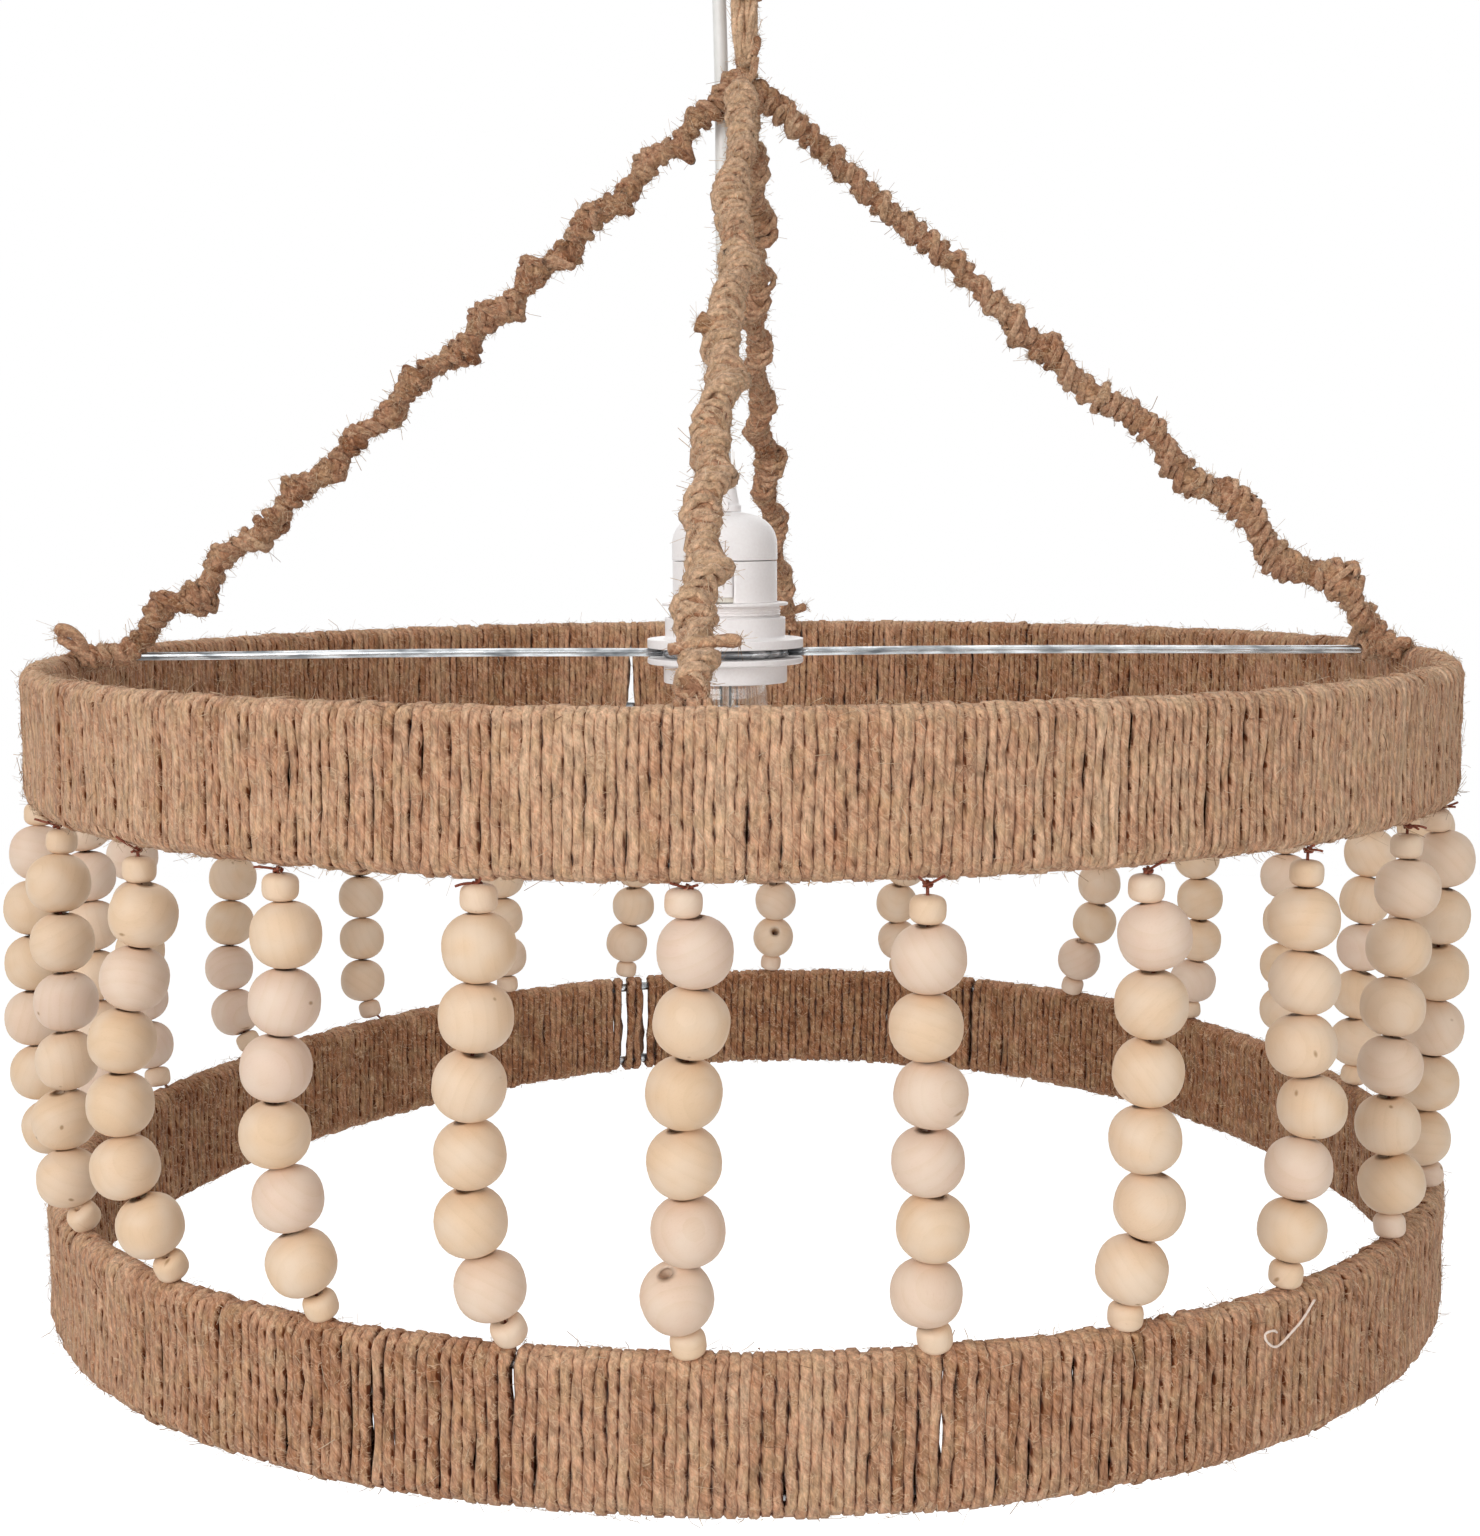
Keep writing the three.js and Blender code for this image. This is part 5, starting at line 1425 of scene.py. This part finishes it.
STRANDS = (
    Strand(-3.3, -5.1, (-0.05, 0.1, 0.05, -0.05, -0.05, 0, -0.15, 0), 0.0, 1.3),
    Strand(11.1, 10.7, (0, 0, -0.05, 0, -0.05, 0, -0.1, 0), 2.8, 1.3),
    Strand(26, 23.8, (0, 0.15, 0.15, 0.15, 0.15, 0.25, 0.05, 0), 1.0, 1.3),
    Strand(40.4, 37.6, (0, 0, 0.05, 0.05, 0.25, 0.1, 0.05, 0), 2.7),
    Strand(55.2, 51.7, (0, 0.05, -0.05, -0.1, -0.1, -0.1, 0, 0), 2.2),
    Strand(66, 66, (-0.05, 0.1, 0.05, 0.05, 0, -0.05, -0.15, 0)),
    Strand(84.5, 83, (0, 0.05, 0, -0.05, -0.05, 0, 0.05, 0)),
    Strand(99, 97.3, (0, 0.05, 0.1, 0.05, 0.05, 0, 0, 0)),
    Strand(113.5, 111.3, (0, -0.05, 0, 0, 0.05, 0, 0, 0)),
    Strand(125.9, 127.2, (0, 0, 0.05, 0.05, 0.15, 0.15, 0.05, 0)),
    Strand(138.5, 142.5, (0, 0.05, 0.1, 0.2, 0.25, 0.2, -0.1, -0.2)),
    Strand(161.5, 164, (0, 0.1, 0.15, 0.15, 0.1, -0.1, -0.05, 0)),
    Strand(176.1, 178, (0, 0.05, 0.1, 0.1, 0.1, 0.05, 0, -0.05)),
    Strand(-168.2, -166, (0, 0, 0.05, 0.05, 0.05, 0, -0.15, -0.15)),
    Strand(-152, -150.5, (0, -0.05, 0, 0.05, 0, -0.05, 0, 0)),
    Strand(-135.4, -132.5, (0, -0.05, -0.1, -0.2, -0.2, -0.25, -0.3, -0.2)),
    Strand(-118.7, -114.5, (0, -0.05, -0.15, -0.25, -0.4, -0.5, -0.45, -0.25)),
    Strand(-102, -99, (0, -0.1, -0.15, -0.15, -0.2, -0.25, -0.25, -0.15)),
    Strand(-90, -88, (0, 0.05, 0.05, 0.05, 0, -0.05, -0.05, 0)),
    Strand(-75, -72, (-0.05, -0.1, -0.25, -0.3, -0.35, -0.3, -0.15, 0)),
    Strand(-60.5, -57.5, (0.05, -0.05, -0.05, -0.05, -0.1, -0.2, -0.2, 0), 1.0),
    Strand(-45.2, -43.8, (0, 0, -0.2, -0.45, -0.55, -0.55, -0.25, 0), 1.8),
    Strand(-30.8, -30, (0, 0, -0.1, -0.3, -0.4, -0.3, -0.2, 0), 0.9),
    Strand(-16.3, -16.6, (0, -0.05, -0.15, -0.3, -0.35, -0.4, -0.2, 0)),
)


@dataclass
class BeadCurtain:
    """The strings of wooden beads between the bands."""

    bead: float = 10.0
    small: float = 4.9
    small_length: float = 7.7
    top_string: float = 1.2
    foot_string: float = 0.2
    string: float = 0.5
    columns: int = 32
    kink: float = 19.8
    knot: float = 0.42
    tail: float = 0.38

    def chain(self, strand: Strand) -> tuple[Array, Array]:
        """Bead centres: even shares of the line between the ties, moved along X.

        Each is lowered by what a bead's length leaves after its sideways step. The large beads' length is
        found in a few rounds, so that all fit.

        Args:
            strand: The string.

        Returns:
            The centres and each bead's length.
        """
        top = UPPER.at(strand.upper)
        foot = LOWER.at(strand.lower)
        top[2] = UPPER.z - HOOP_GAP - BAND_EDGE - self.top_string - strand.hung
        foot[2] = LOWER.z + BAND_EDGE + self.foot_string - strand.dropped
        count = len(strand.kinks)
        share = (np.arange(count) + 0.5)[:, None] / count
        plan = top + (foot - top) * share
        plan[:, 0] += np.array(strand.kinks) * self.kink
        aside = np.hypot(*np.diff(plan[:, :2], axis=0).T)
        drop = top[2] - foot[2] - self.small_length
        large = (drop - self.small_length) / (count - 2)
        ends = np.zeros(count - 1, bool)
        ends[[0, -1]] = True
        for _ in range(6):
            step = np.where(ends, (large + self.small_length) / 2, large)
            falls = np.sqrt(np.maximum(step**2 - aside**2, 0))
            large *= 1 + (drop - falls.sum()) / falls.sum()
        plan[:, 2] = top[2] - self.small_length / 2 - np.concatenate([[0], np.cumsum(falls)])
        lengths = np.full(count, large)
        lengths[[0, -1]] = self.small_length
        return plan, lengths

    def profile(self, roundness: float) -> Array:
        """A drilled bead's outline for a radius and half length of one.

        It is a superellipse, whose radius to the power of roundness and height to that power sum to one,
        with a countersunk edge and the bore.
        """
        t = np.linspace(-1.42, 1.42, 17)
        power = 2 / roundness
        belly = np.stack([np.cos(t) ** power, np.sign(t) * np.abs(np.sin(t)) ** power], axis=1)
        rim = np.array([(0.235, 0.965), (0.18, 0.86)])
        bore = np.array([(0.18, 0.3), (0.18, -0.3)])
        return np.concatenate([belly, rim, bore, rim[::-1] * np.array([1, -1])])

    def build(self) -> None:
        """Every string with its beads, its knot and its cut ends."""
        for number, strand in enumerate(STRANDS, 1):
            self.beads(number, strand)
            self.cord(number, strand)

    def beads(self, number: int, strand: Strand) -> None:
        """The beads: the outline turned about each bead's own axis, and tilted a little.

        Args:
            number: The string's number.
            strand: The string.
        """
        rng = np.random.default_rng(100 + number)
        centres, lengths = self.chain(strand)
        count = len(centres)
        axis = unit(-np.gradient(centres, axis=0)) + 0.10 * rng.standard_normal((count, 3))
        axis[0] = (0.04, 0.02, 1.0)
        # Single beads that the photograph shows turned aside.
        if number == 13:
            axis[6] = (0.1, -0.9, 0.45)
        elif number == 1:
            axis[6] += (-0.30, -0.28, 0.0)
        elif number >= 21:
            axis[7] += (0.05, -0.42, 0.0)
        axis = unit(axis)
        side = unit(np.cross(axis, unit(rng.standard_normal((count, 3)))))
        up = np.cross(axis, side)
        ends = np.arange(count) % (count - 1) == 0
        radius = np.where(ends, self.small, self.bead * 0.985) * (1 + 0.012 * rng.standard_normal(count))
        outline = np.where(ends[:, None, None], self.profile(3.2), self.profile(2.25))
        angle = even_angles(self.columns)
        reach = radius[:, None] * outline[..., 0]
        high = 0.5 * lengths[:, None] * outline[..., 1]
        circle = radial_at(angle, side[:, None], up[:, None])
        points = centres[:, None, None] + reach[:, :, None, None] * circle[:, None]
        points = points + high[:, :, None, None] * axis[:, None, None]
        spin = np.linalg.qr(rng.standard_normal((count, 3, 3)))[0]
        local = points - centres[:, None, None]
        grain = np.einsum("brck,bkj->brcj", local, spin) + rng.uniform(-300, 300, (count, 1, 1, 3))
        tone = rng.uniform(0, 1, (count, 1))
        surface = Surface().grid(points, True, False, tone=tone, place=grain)
        name = f"strand_{number:02d}"
        surface.build(f"beads_{number:02d}", WOOD, name, f"bead_{name}")

    def cord(self, number: int, strand: Strand) -> None:
        """The string: up through every bead to a knot under the upper band, with two cut ends.

        Args:
            number: The string's number.
            strand: The string.
        """
        rng = np.random.default_rng(200 + number)
        centres, _ = self.chain(strand)
        top = UPPER.at(strand.upper, 0.0, -HOOP_GAP - BAND_EDGE)
        foot = LOWER.at(strand.lower, 0.0, BAND_EDGE + 0.3)
        path = np.concatenate([top[None] + (0, 0, -0.1), centres, foot[None]])
        surface = Surface().tube(path, self.string, np.array([1.0, 0.3, 0]), 6)
        knot = top - 1.3 * UP
        turn = math.radians(strand.upper)
        t = even_angles(36)
        loop = xyz((2 + np.cos(3 * t)) * np.cos(2 * t), (2 + np.cos(3 * t)) * np.sin(2 * t), np.sin(3 * t))
        surface.tube(knot + self.knot * loop, self.knot, np.array([0.05, 0.03, 1.0]), 5, wrap=True)
        for way in (-1, 1):
            aim = Hoop.along(strand.upper) * way * rng.uniform(0.4, 1.0) + rng.uniform(0.1, 0.9) * UP
            aim = aim + np.array([math.sin(turn), -math.cos(turn), 0]) * 0.9
            s = np.linspace(0, 1, 6)[:, None]
            tail = knot + unit(aim) * rng.uniform(4.0, 8.0) * s + rng.uniform(-2.0, 1.0) * UP * s**2
            surface.tube(tail, self.tail, np.array([0.2, 0.1, 1.0]), 5)
        surface.build(f"bead_string_{number:02d}", STRING, f"strand_{number:02d}")


# Lamp holder and bulb.


@dataclass
class LampHolder:
    """The white screw lamp holder on its wire bar."""

    body: float = 18.95
    wall: float = 1.9
    bar_wire: float = 1.5
    bar_ring: float = 21.9
    bar_end: float = 239.5
    bore: float = 20.4
    flange: float = 28.4
    tongue: float = 3.0
    slot: float = 3.3

    def turned(self, name: str, outline: Outline, radius: float, body: Body, *nodes: str) -> None:
        """A turned plastic piece with rounded corners."""
        Surface().lathe(rounded(outline, radius), HOLDER).build(name, PLASTIC, body, *nodes)

    def cap(self) -> None:
        """The domed cap with its locking tongue, which drops into the body's slot at the front."""
        t = np.linspace(0, 1, 14)
        dome_r = 19.1 * np.cos(t * math.pi / 2) ** 0.62
        dome_z = 43.0 + 11.6 * np.sin(t * math.pi / 2)
        keep = dome_r > 6.6
        outer = [
            (17.5, 37.4), (19.1, 37.4), *zip(dome_r[keep], dome_z[keep]), (6.4, 54.6), (2.9, 54.6),
            (2.9, 53.0),
        ]
        inner = [(5.5, 53.0), (13.4, 50.5), (17.2, 45.0)]
        surface = Surface().lathe(rounded(outer + inner, 0.35), HOLDER)
        surface.grid(self.tongue_rings())
        for rise in (0.0, 0.9):
            bead = [(18.7, 38.6 + rise), (19.25, 38.8 + rise), (18.7, 39.0 + rise)]
            surface.lathe(rounded(bead, 0.1), HOLDER)
        surface.build("holder_dome", PLASTIC, Body.FRAME, "holder_cap")

    def tongue_rings(self) -> Array:
        """The tongue: a block bent round the body's wall, from rings of places that go up it."""
        half = self.tongue / self.body
        across = np.linspace(-half, half, 7)
        ring = [(self.body - self.wall, a) for a in across[::-1]] + [(self.body + 0.05, a) for a in across]
        flat = np.array([(HOLDER[0] + r * math.sin(a), -r * math.cos(a)) for r, a in ring])
        heights = UPPER.z + np.array([24.4, 24.7, 30.0, 37.0, 38.0])
        rings = np.zeros((len(heights), len(flat), 3))
        rings[:, :, :2] = flat
        rings[:, :, 2] = heights[:, None]
        return rings

    def shell(self) -> None:
        """The body with its rim, its lower thread and its slot: rings of places with a gap at the front."""
        outline = rounded([
            (17.05, -6.85), (19.8, -6.85), (19.8, 17.4), (20.3, 17.9), (19.8, 18.4), (20.3, 18.9),
            (19.8, 19.4), (20.3, 19.9), (19.7, 20.5), (19.7, 21.1), (22.9, 21.1), (22.9, 22.1), (20.2, 22.3),
            (17.4, 22.3), (17.0, 19.5), (13.9, 19.5), (13.9, 5.3), (17.05, 3.3),
        ], 0.3)
        surface = Surface().lathe(outline, HOLDER)
        gap = self.slot / self.body
        angle = np.linspace(gap, TURN - gap, 90) - math.pi / 2
        wall = rounded([(17.05, 22.31), (18.95, 22.31), (18.95, 37.1), (17.05, 37.1)], 0.25)
        way = xyz(np.cos(angle), np.sin(angle), 0)
        rings = wall[None, :, 0, None] * way[:, None] + wall[None, :, 1, None] * UP
        surface.grid(rings[:, ::-1] + HOLDER)
        surface.build("holder_shell", PLASTIC, Body.FRAME, "holder_body")

    def gland(self) -> None:
        """The cable grip: a tapered collar with ribs and a small screw window at its side."""
        outline = [(2.9, 54.8), (6.1, 54.8), (6.1, 57.0), (5.4, 57.6), (4.1, 64.6), (3.7, 65.0), (2.9, 65.0)]
        surface = Surface().lathe(rounded(outline, 0.4), HOLDER)
        square = np.array([(-1.6, -1.3), (1.6, -1.3), (1.6, 1.3), (-1.6, 1.3)])
        rings = np.zeros((3, 4, 3))
        for row, (out, size) in enumerate(((4.2, 1.0), (6.2, 1.0), (6.5, 0.85))):
            rings[row, :, 0] = HOLDER[0] + square[:, 0] * size
            rings[row, :, 1] = -out
            rings[row, :, 2] = UPPER.z + 57.0 + square[:, 1] * size
        surface.grid(rings)
        surface.build("cable_grip", PLASTIC, Body.FRAME, "cable_gland")

    def rings(self) -> None:
        """The two shade rings: collars with wide flanges that clamp the bar between them."""
        top = BAR_UP + self.bar_wire + 0.3
        upper = [
            (self.bore, top), (self.flange, top), (self.flange, top + 3.2), (27.6, top + 3.4),
            (22.6, top + 3.4), (21.9, top + 4.0), (21.9, top + 11), (self.bore, top + 11),
        ]
        self.turned("upper_ring", upper, 0.5, Body.UPPER_RING, "shade_ring_upper")
        low = BAR_UP - self.bar_wire - 0.3
        lower = [
            (self.bore, low - 9.1), (22.5, low - 9.1), (22.5, low - 2.4), (27.8, low - 2.2),
            (self.flange, low - 1.8), (self.flange, low), (self.bore, low),
        ]
        self.turned("lower_ring", lower, 0.5, Body.LOWER_RING, "shade_ring_lower")

    def bar(self) -> None:
        """The wire bar: a ring round the holder and two straight arms, one round wire each."""
        z = UPPER.z + BAR_UP
        angle = even_angles(72)
        ring = xyz(HOLDER[0] + self.bar_ring * np.cos(angle), self.bar_ring * np.sin(angle), z)
        surface = Surface().tube(ring, self.bar_wire, UP, 14, wrap=True)
        for side in (-1, 1):
            end = UPPER.x + side * self.bar_end
            bow = np.linspace(0, 1, 24)
            x = HOLDER[0] + side * 21.5 + (end - HOLDER[0] - side * 21.5) * bow
            arm = xyz(x, 0.5 * np.sin(bow * math.pi) * side, z + 0.35 * np.sin(bow * 5))
            surface.tube(arm, self.bar_wire, UP, 14)
        surface.build("wire_bar", ZINC, Body.FRAME, "cross_bar")

    def build(self) -> None:
        """Every piece of the holder."""
        self.cap()
        self.shell()
        self.gland()
        self.rings()
        self.bar()
        redress("contact_block", PORCELAIN)


@dataclass
class Bulb:
    """The clear bulb: envelope, stem, wires, filament and screw shell."""

    shell_foot: float = -3.3
    glass: float = 0.9
    wire: float = 0.35
    coil: float = 0.55
    coil_turns: float = 46
    filament: float = 0.11

    def envelope(self) -> None:
        """Glass of even wall: a smooth outline through neck, shoulder and belly, and the same inside."""
        marks = np.array([
            (12.2, 5.2), (12.6, 1.0), (15.2, -2.5), (16.2, -8.0), (17.0, -14.0), (22.0, -22.0),
            (26.5, -30.0), (27.5, -39.0), (26.2, -48.0), (22.0, -58.0), (15.0, -66.5), (7.5, -71.0),
            (0.4, -72.0),
        ]) + (0, self.shell_foot)
        marks = np.column_stack([marks, np.zeros(len(marks))])
        line = spline(marks, 60)[::-1, :2]
        inner = line[::-1].copy()
        inner[:, 0] = np.maximum(inner[:, 0] - self.glass, 0.3)
        inner[:, 1] += np.where(inner[:, 0] < 20, 0.6 * (inner[:, 1] < self.shell_foot - 40), 0)
        surface = Surface().lathe(np.concatenate([line, inner]), HOLDER, 72, wrap=False)
        surface.build("bulb_envelope", GLASS, Body.BULB, "bulb_glass")

    def inside(self) -> None:
        """The glass stem with its flare, and the wires that hold the filament."""
        z = self.shell_foot
        outline = [
            (0.3, z - 28.8), (2.0, z - 28.5), (2.4, z - 24), (2.8, z - 12), (3.4, z - 3), (5.0, z + 2),
            (11.0, z + 4.4), (11.0, z + 5.0), (0.3, z + 5.0),
        ]
        surface = Surface().lathe(rounded(outline, 0.6, closed=False), HOLDER, 36, wrap=False)
        surface.build("bulb_mount", GLASS, Body.BULB, "bulb_stem")
        wires = Surface()
        for side in (-1, 1):
            marks = np.array([
                (side * 1.2, 0, z - 4), (side * 1.3, 0, z - 22), (side * 4.0, 0, z - 32),
                (side * 9.5, side * 1.5, z - 41),
            ]) + HOLDER
            wires.tube(spline(marks, 24), self.wire, np.array([0, 1.0, 0.1]), 8)
        t = np.linspace(0, 1, 420)
        bow = xyz(
            -9.5 + 19 * t, -1.5 + 3 * t - 5 * np.sin(t * math.pi),
            z - 41 - 1.5 * np.sin(t * 3 * math.pi) ** 2,
        )
        turn = t * TURN * self.coil_turns
        coil = bow + self.coil * xyz(0, np.cos(turn), np.sin(turn)) + HOLDER
        wires.tube(coil, self.filament, np.array([1.0, 0.2, 0]), 5)
        wires.build("bulb_wires", FILAMENT, Body.BULB)

    def shell(self) -> None:
        """The screw shell: a round thread rolled in thin metal, with its insulator and tip."""
        z = self.shell_foot
        t = np.linspace(0, 1, 64)
        ridge = 12.7 + 0.4 * np.cos(t * TURN * 4.2)
        thread = list(zip(ridge, z + 2.5 + 16.0 * t))
        outline = [
            (12.5, z), (13.1, z + 0.1), (12.6, z + 2.0), *thread, (12.0, z + 20.0), (10.2, z + 21.2),
            (7.6, z + 22.4),
        ]
        top = [(4.7, z + 23.0), (4.5, z + 24.4), (3.0, z + 25.0), (0.3, z + 25.0)]
        base = [(0.3, z + 5.6), (12.4, z + 5.6)]
        surface = Surface().lathe(np.array(outline + top + base), HOLDER, 72)
        surface.build("screw_shell", SHELL, Body.BULB, "bulb_cap")

    def build(self) -> None:
        """The whole bulb."""
        self.envelope()
        self.inside()
        self.shell()


# Ceiling fitting.


@dataclass
class CeilingFitting:
    """Canopy, bracket, hook, hanging ring and cable outlet."""

    hook_wire: float = 1.75
    bowl: float = 8.75
    bowl_z: float = -38.0
    ring_radius: float = 9.5
    ring_z: float = -52.7
    ring_wire: float = 1.5

    def canopy(self) -> None:
        """A spun cup with a rounded shoulder."""
        outline = [(2.1, -24), (41, -24), (45, -20), (45, 0), (43, 0), (43, -20.5), (39.5, -22), (2.1, -22)]
        surface = Surface().lathe(rounded(outline, 1.6, steps=8), (0, 0, 0), 128)
        surface.build("canopy_cup", ENAMEL, Body.CEILING, "ceiling_canopy")

    def hook(self) -> None:
        """The hook's wire, down the axis and round the bowl, and the nut that holds the canopy."""
        turn = np.radians(np.linspace(-35, 205, 11))
        arc = xyz(self.bowl * np.cos(turn), 0, self.bowl_z - self.bowl * np.sin(turn))
        path = spline(np.concatenate([[(0, 0, -3.8), (0, 0, -24), (0, 0, -28.75)], arc]), 110)
        radius = np.full(110, self.hook_wire)
        radius[-6:] *= np.linspace(1, 0.55, 6)
        surface = Surface().tube(path, radius, ALONG_Y, 16)
        surface.build("hook_wire", STEEL, Body.CEILING, "ceiling_hook")
        outline = [(2.05, -27.3), (6.8, -27.3), (6.8, -24.3), (2.05, -24.3)]
        hexagon = Surface().lathe(rounded(outline, 0.4), (0, 0, 0), 6)
        hexagon.smooth = [np.zeros_like(s) for s in hexagon.smooth]
        hexagon.build("hook_hexagon_nut", STEEL, Body.CEILING, "hook_nut")

    def ring(self) -> None:
        """The welded ring that hangs on the hook: a circle of wire in the YZ plane."""
        angle = even_angles(72)
        path = xyz(0, self.ring_radius * np.cos(angle), self.ring_z + self.ring_radius * np.sin(angle))
        weld = 0.12 * np.exp(-(((angle - 0.6) / 0.12) ** 2))
        surface = Surface().tube(path, self.ring_wire + weld, ALONG_X, 14, wrap=True)
        surface.build("welded_ring", STEEL, Body.RING, "hang_ring")

    def outlet(self) -> None:
        """The flared sleeve that the flex goes up into."""
        outline = [
            (2.8, -24.3), (2.8, -42.7), (5.53, -42.7), (5.53, -52), (6.73, -52), (6.73, -41.5), (4.0, -25.5),
            (6.5, -25.5), (6.5, -24.3),
        ]
        surface = Surface().lathe(rounded(outline, 0.5), OUTLET, 64)
        surface.build("flex_sleeve", PLASTIC, Body.CEILING, "cable_outlet")

    def build(self) -> None:
        """Every piece of the fitting."""
        self.canopy()
        self.hook()
        self.ring()
        self.outlet()
        redress("hook_bracket", STEEL)
        redress("terminal_block", PLASTIC)


def main() -> None:
    """Builds the room and the lamp, cords first."""
    logging.basicConfig(level=logging.INFO, format="%(message)s")
    Studio().build()
    for assembly in (PowerCable(), Ropes(), CeilingFitting(), LampHolder(), Bulb()):
        assembly.build()
    Band("upper_band", UPPER, Body.FRAME, ((-168.0, 3.3, 0.0, 2.5),), 41, twine=1.5, pitch=2.72).build()
    slits = (
        (-164.0, 5.0, 0.0, -0.7), (-166.6, 3.6, 0.0, 0.2), (-169.0, 3.5, 0.0, 0.2), (155.0, 5.0, 0.0, -0.5),
        (-26.0, 4.0, 0.0, 0.0), (-16.4, 4.5, -3.5, -0.8), (-3.6, 3.8, -1.2, 0.1), (10.7, 3.9, 1.7, -0.35),
    )
    lower = Band("lower_band", LOWER, Body.LOWER_BAND, slits, 51, twine=1.65, pitch=3.0, tone=0.33)
    lower.build()
    lower.thread_end((
        (39.0, 1.6), (37.8, -2.6), (36.7, -5.2), (35.2, -8.2), (34.3, -6.2), (34.1, -3.6), (34.9, -3.4),
        (35.3, -4.4),
    ))
    BeadCurtain().build()


if __name__ == "__main__":
    main()
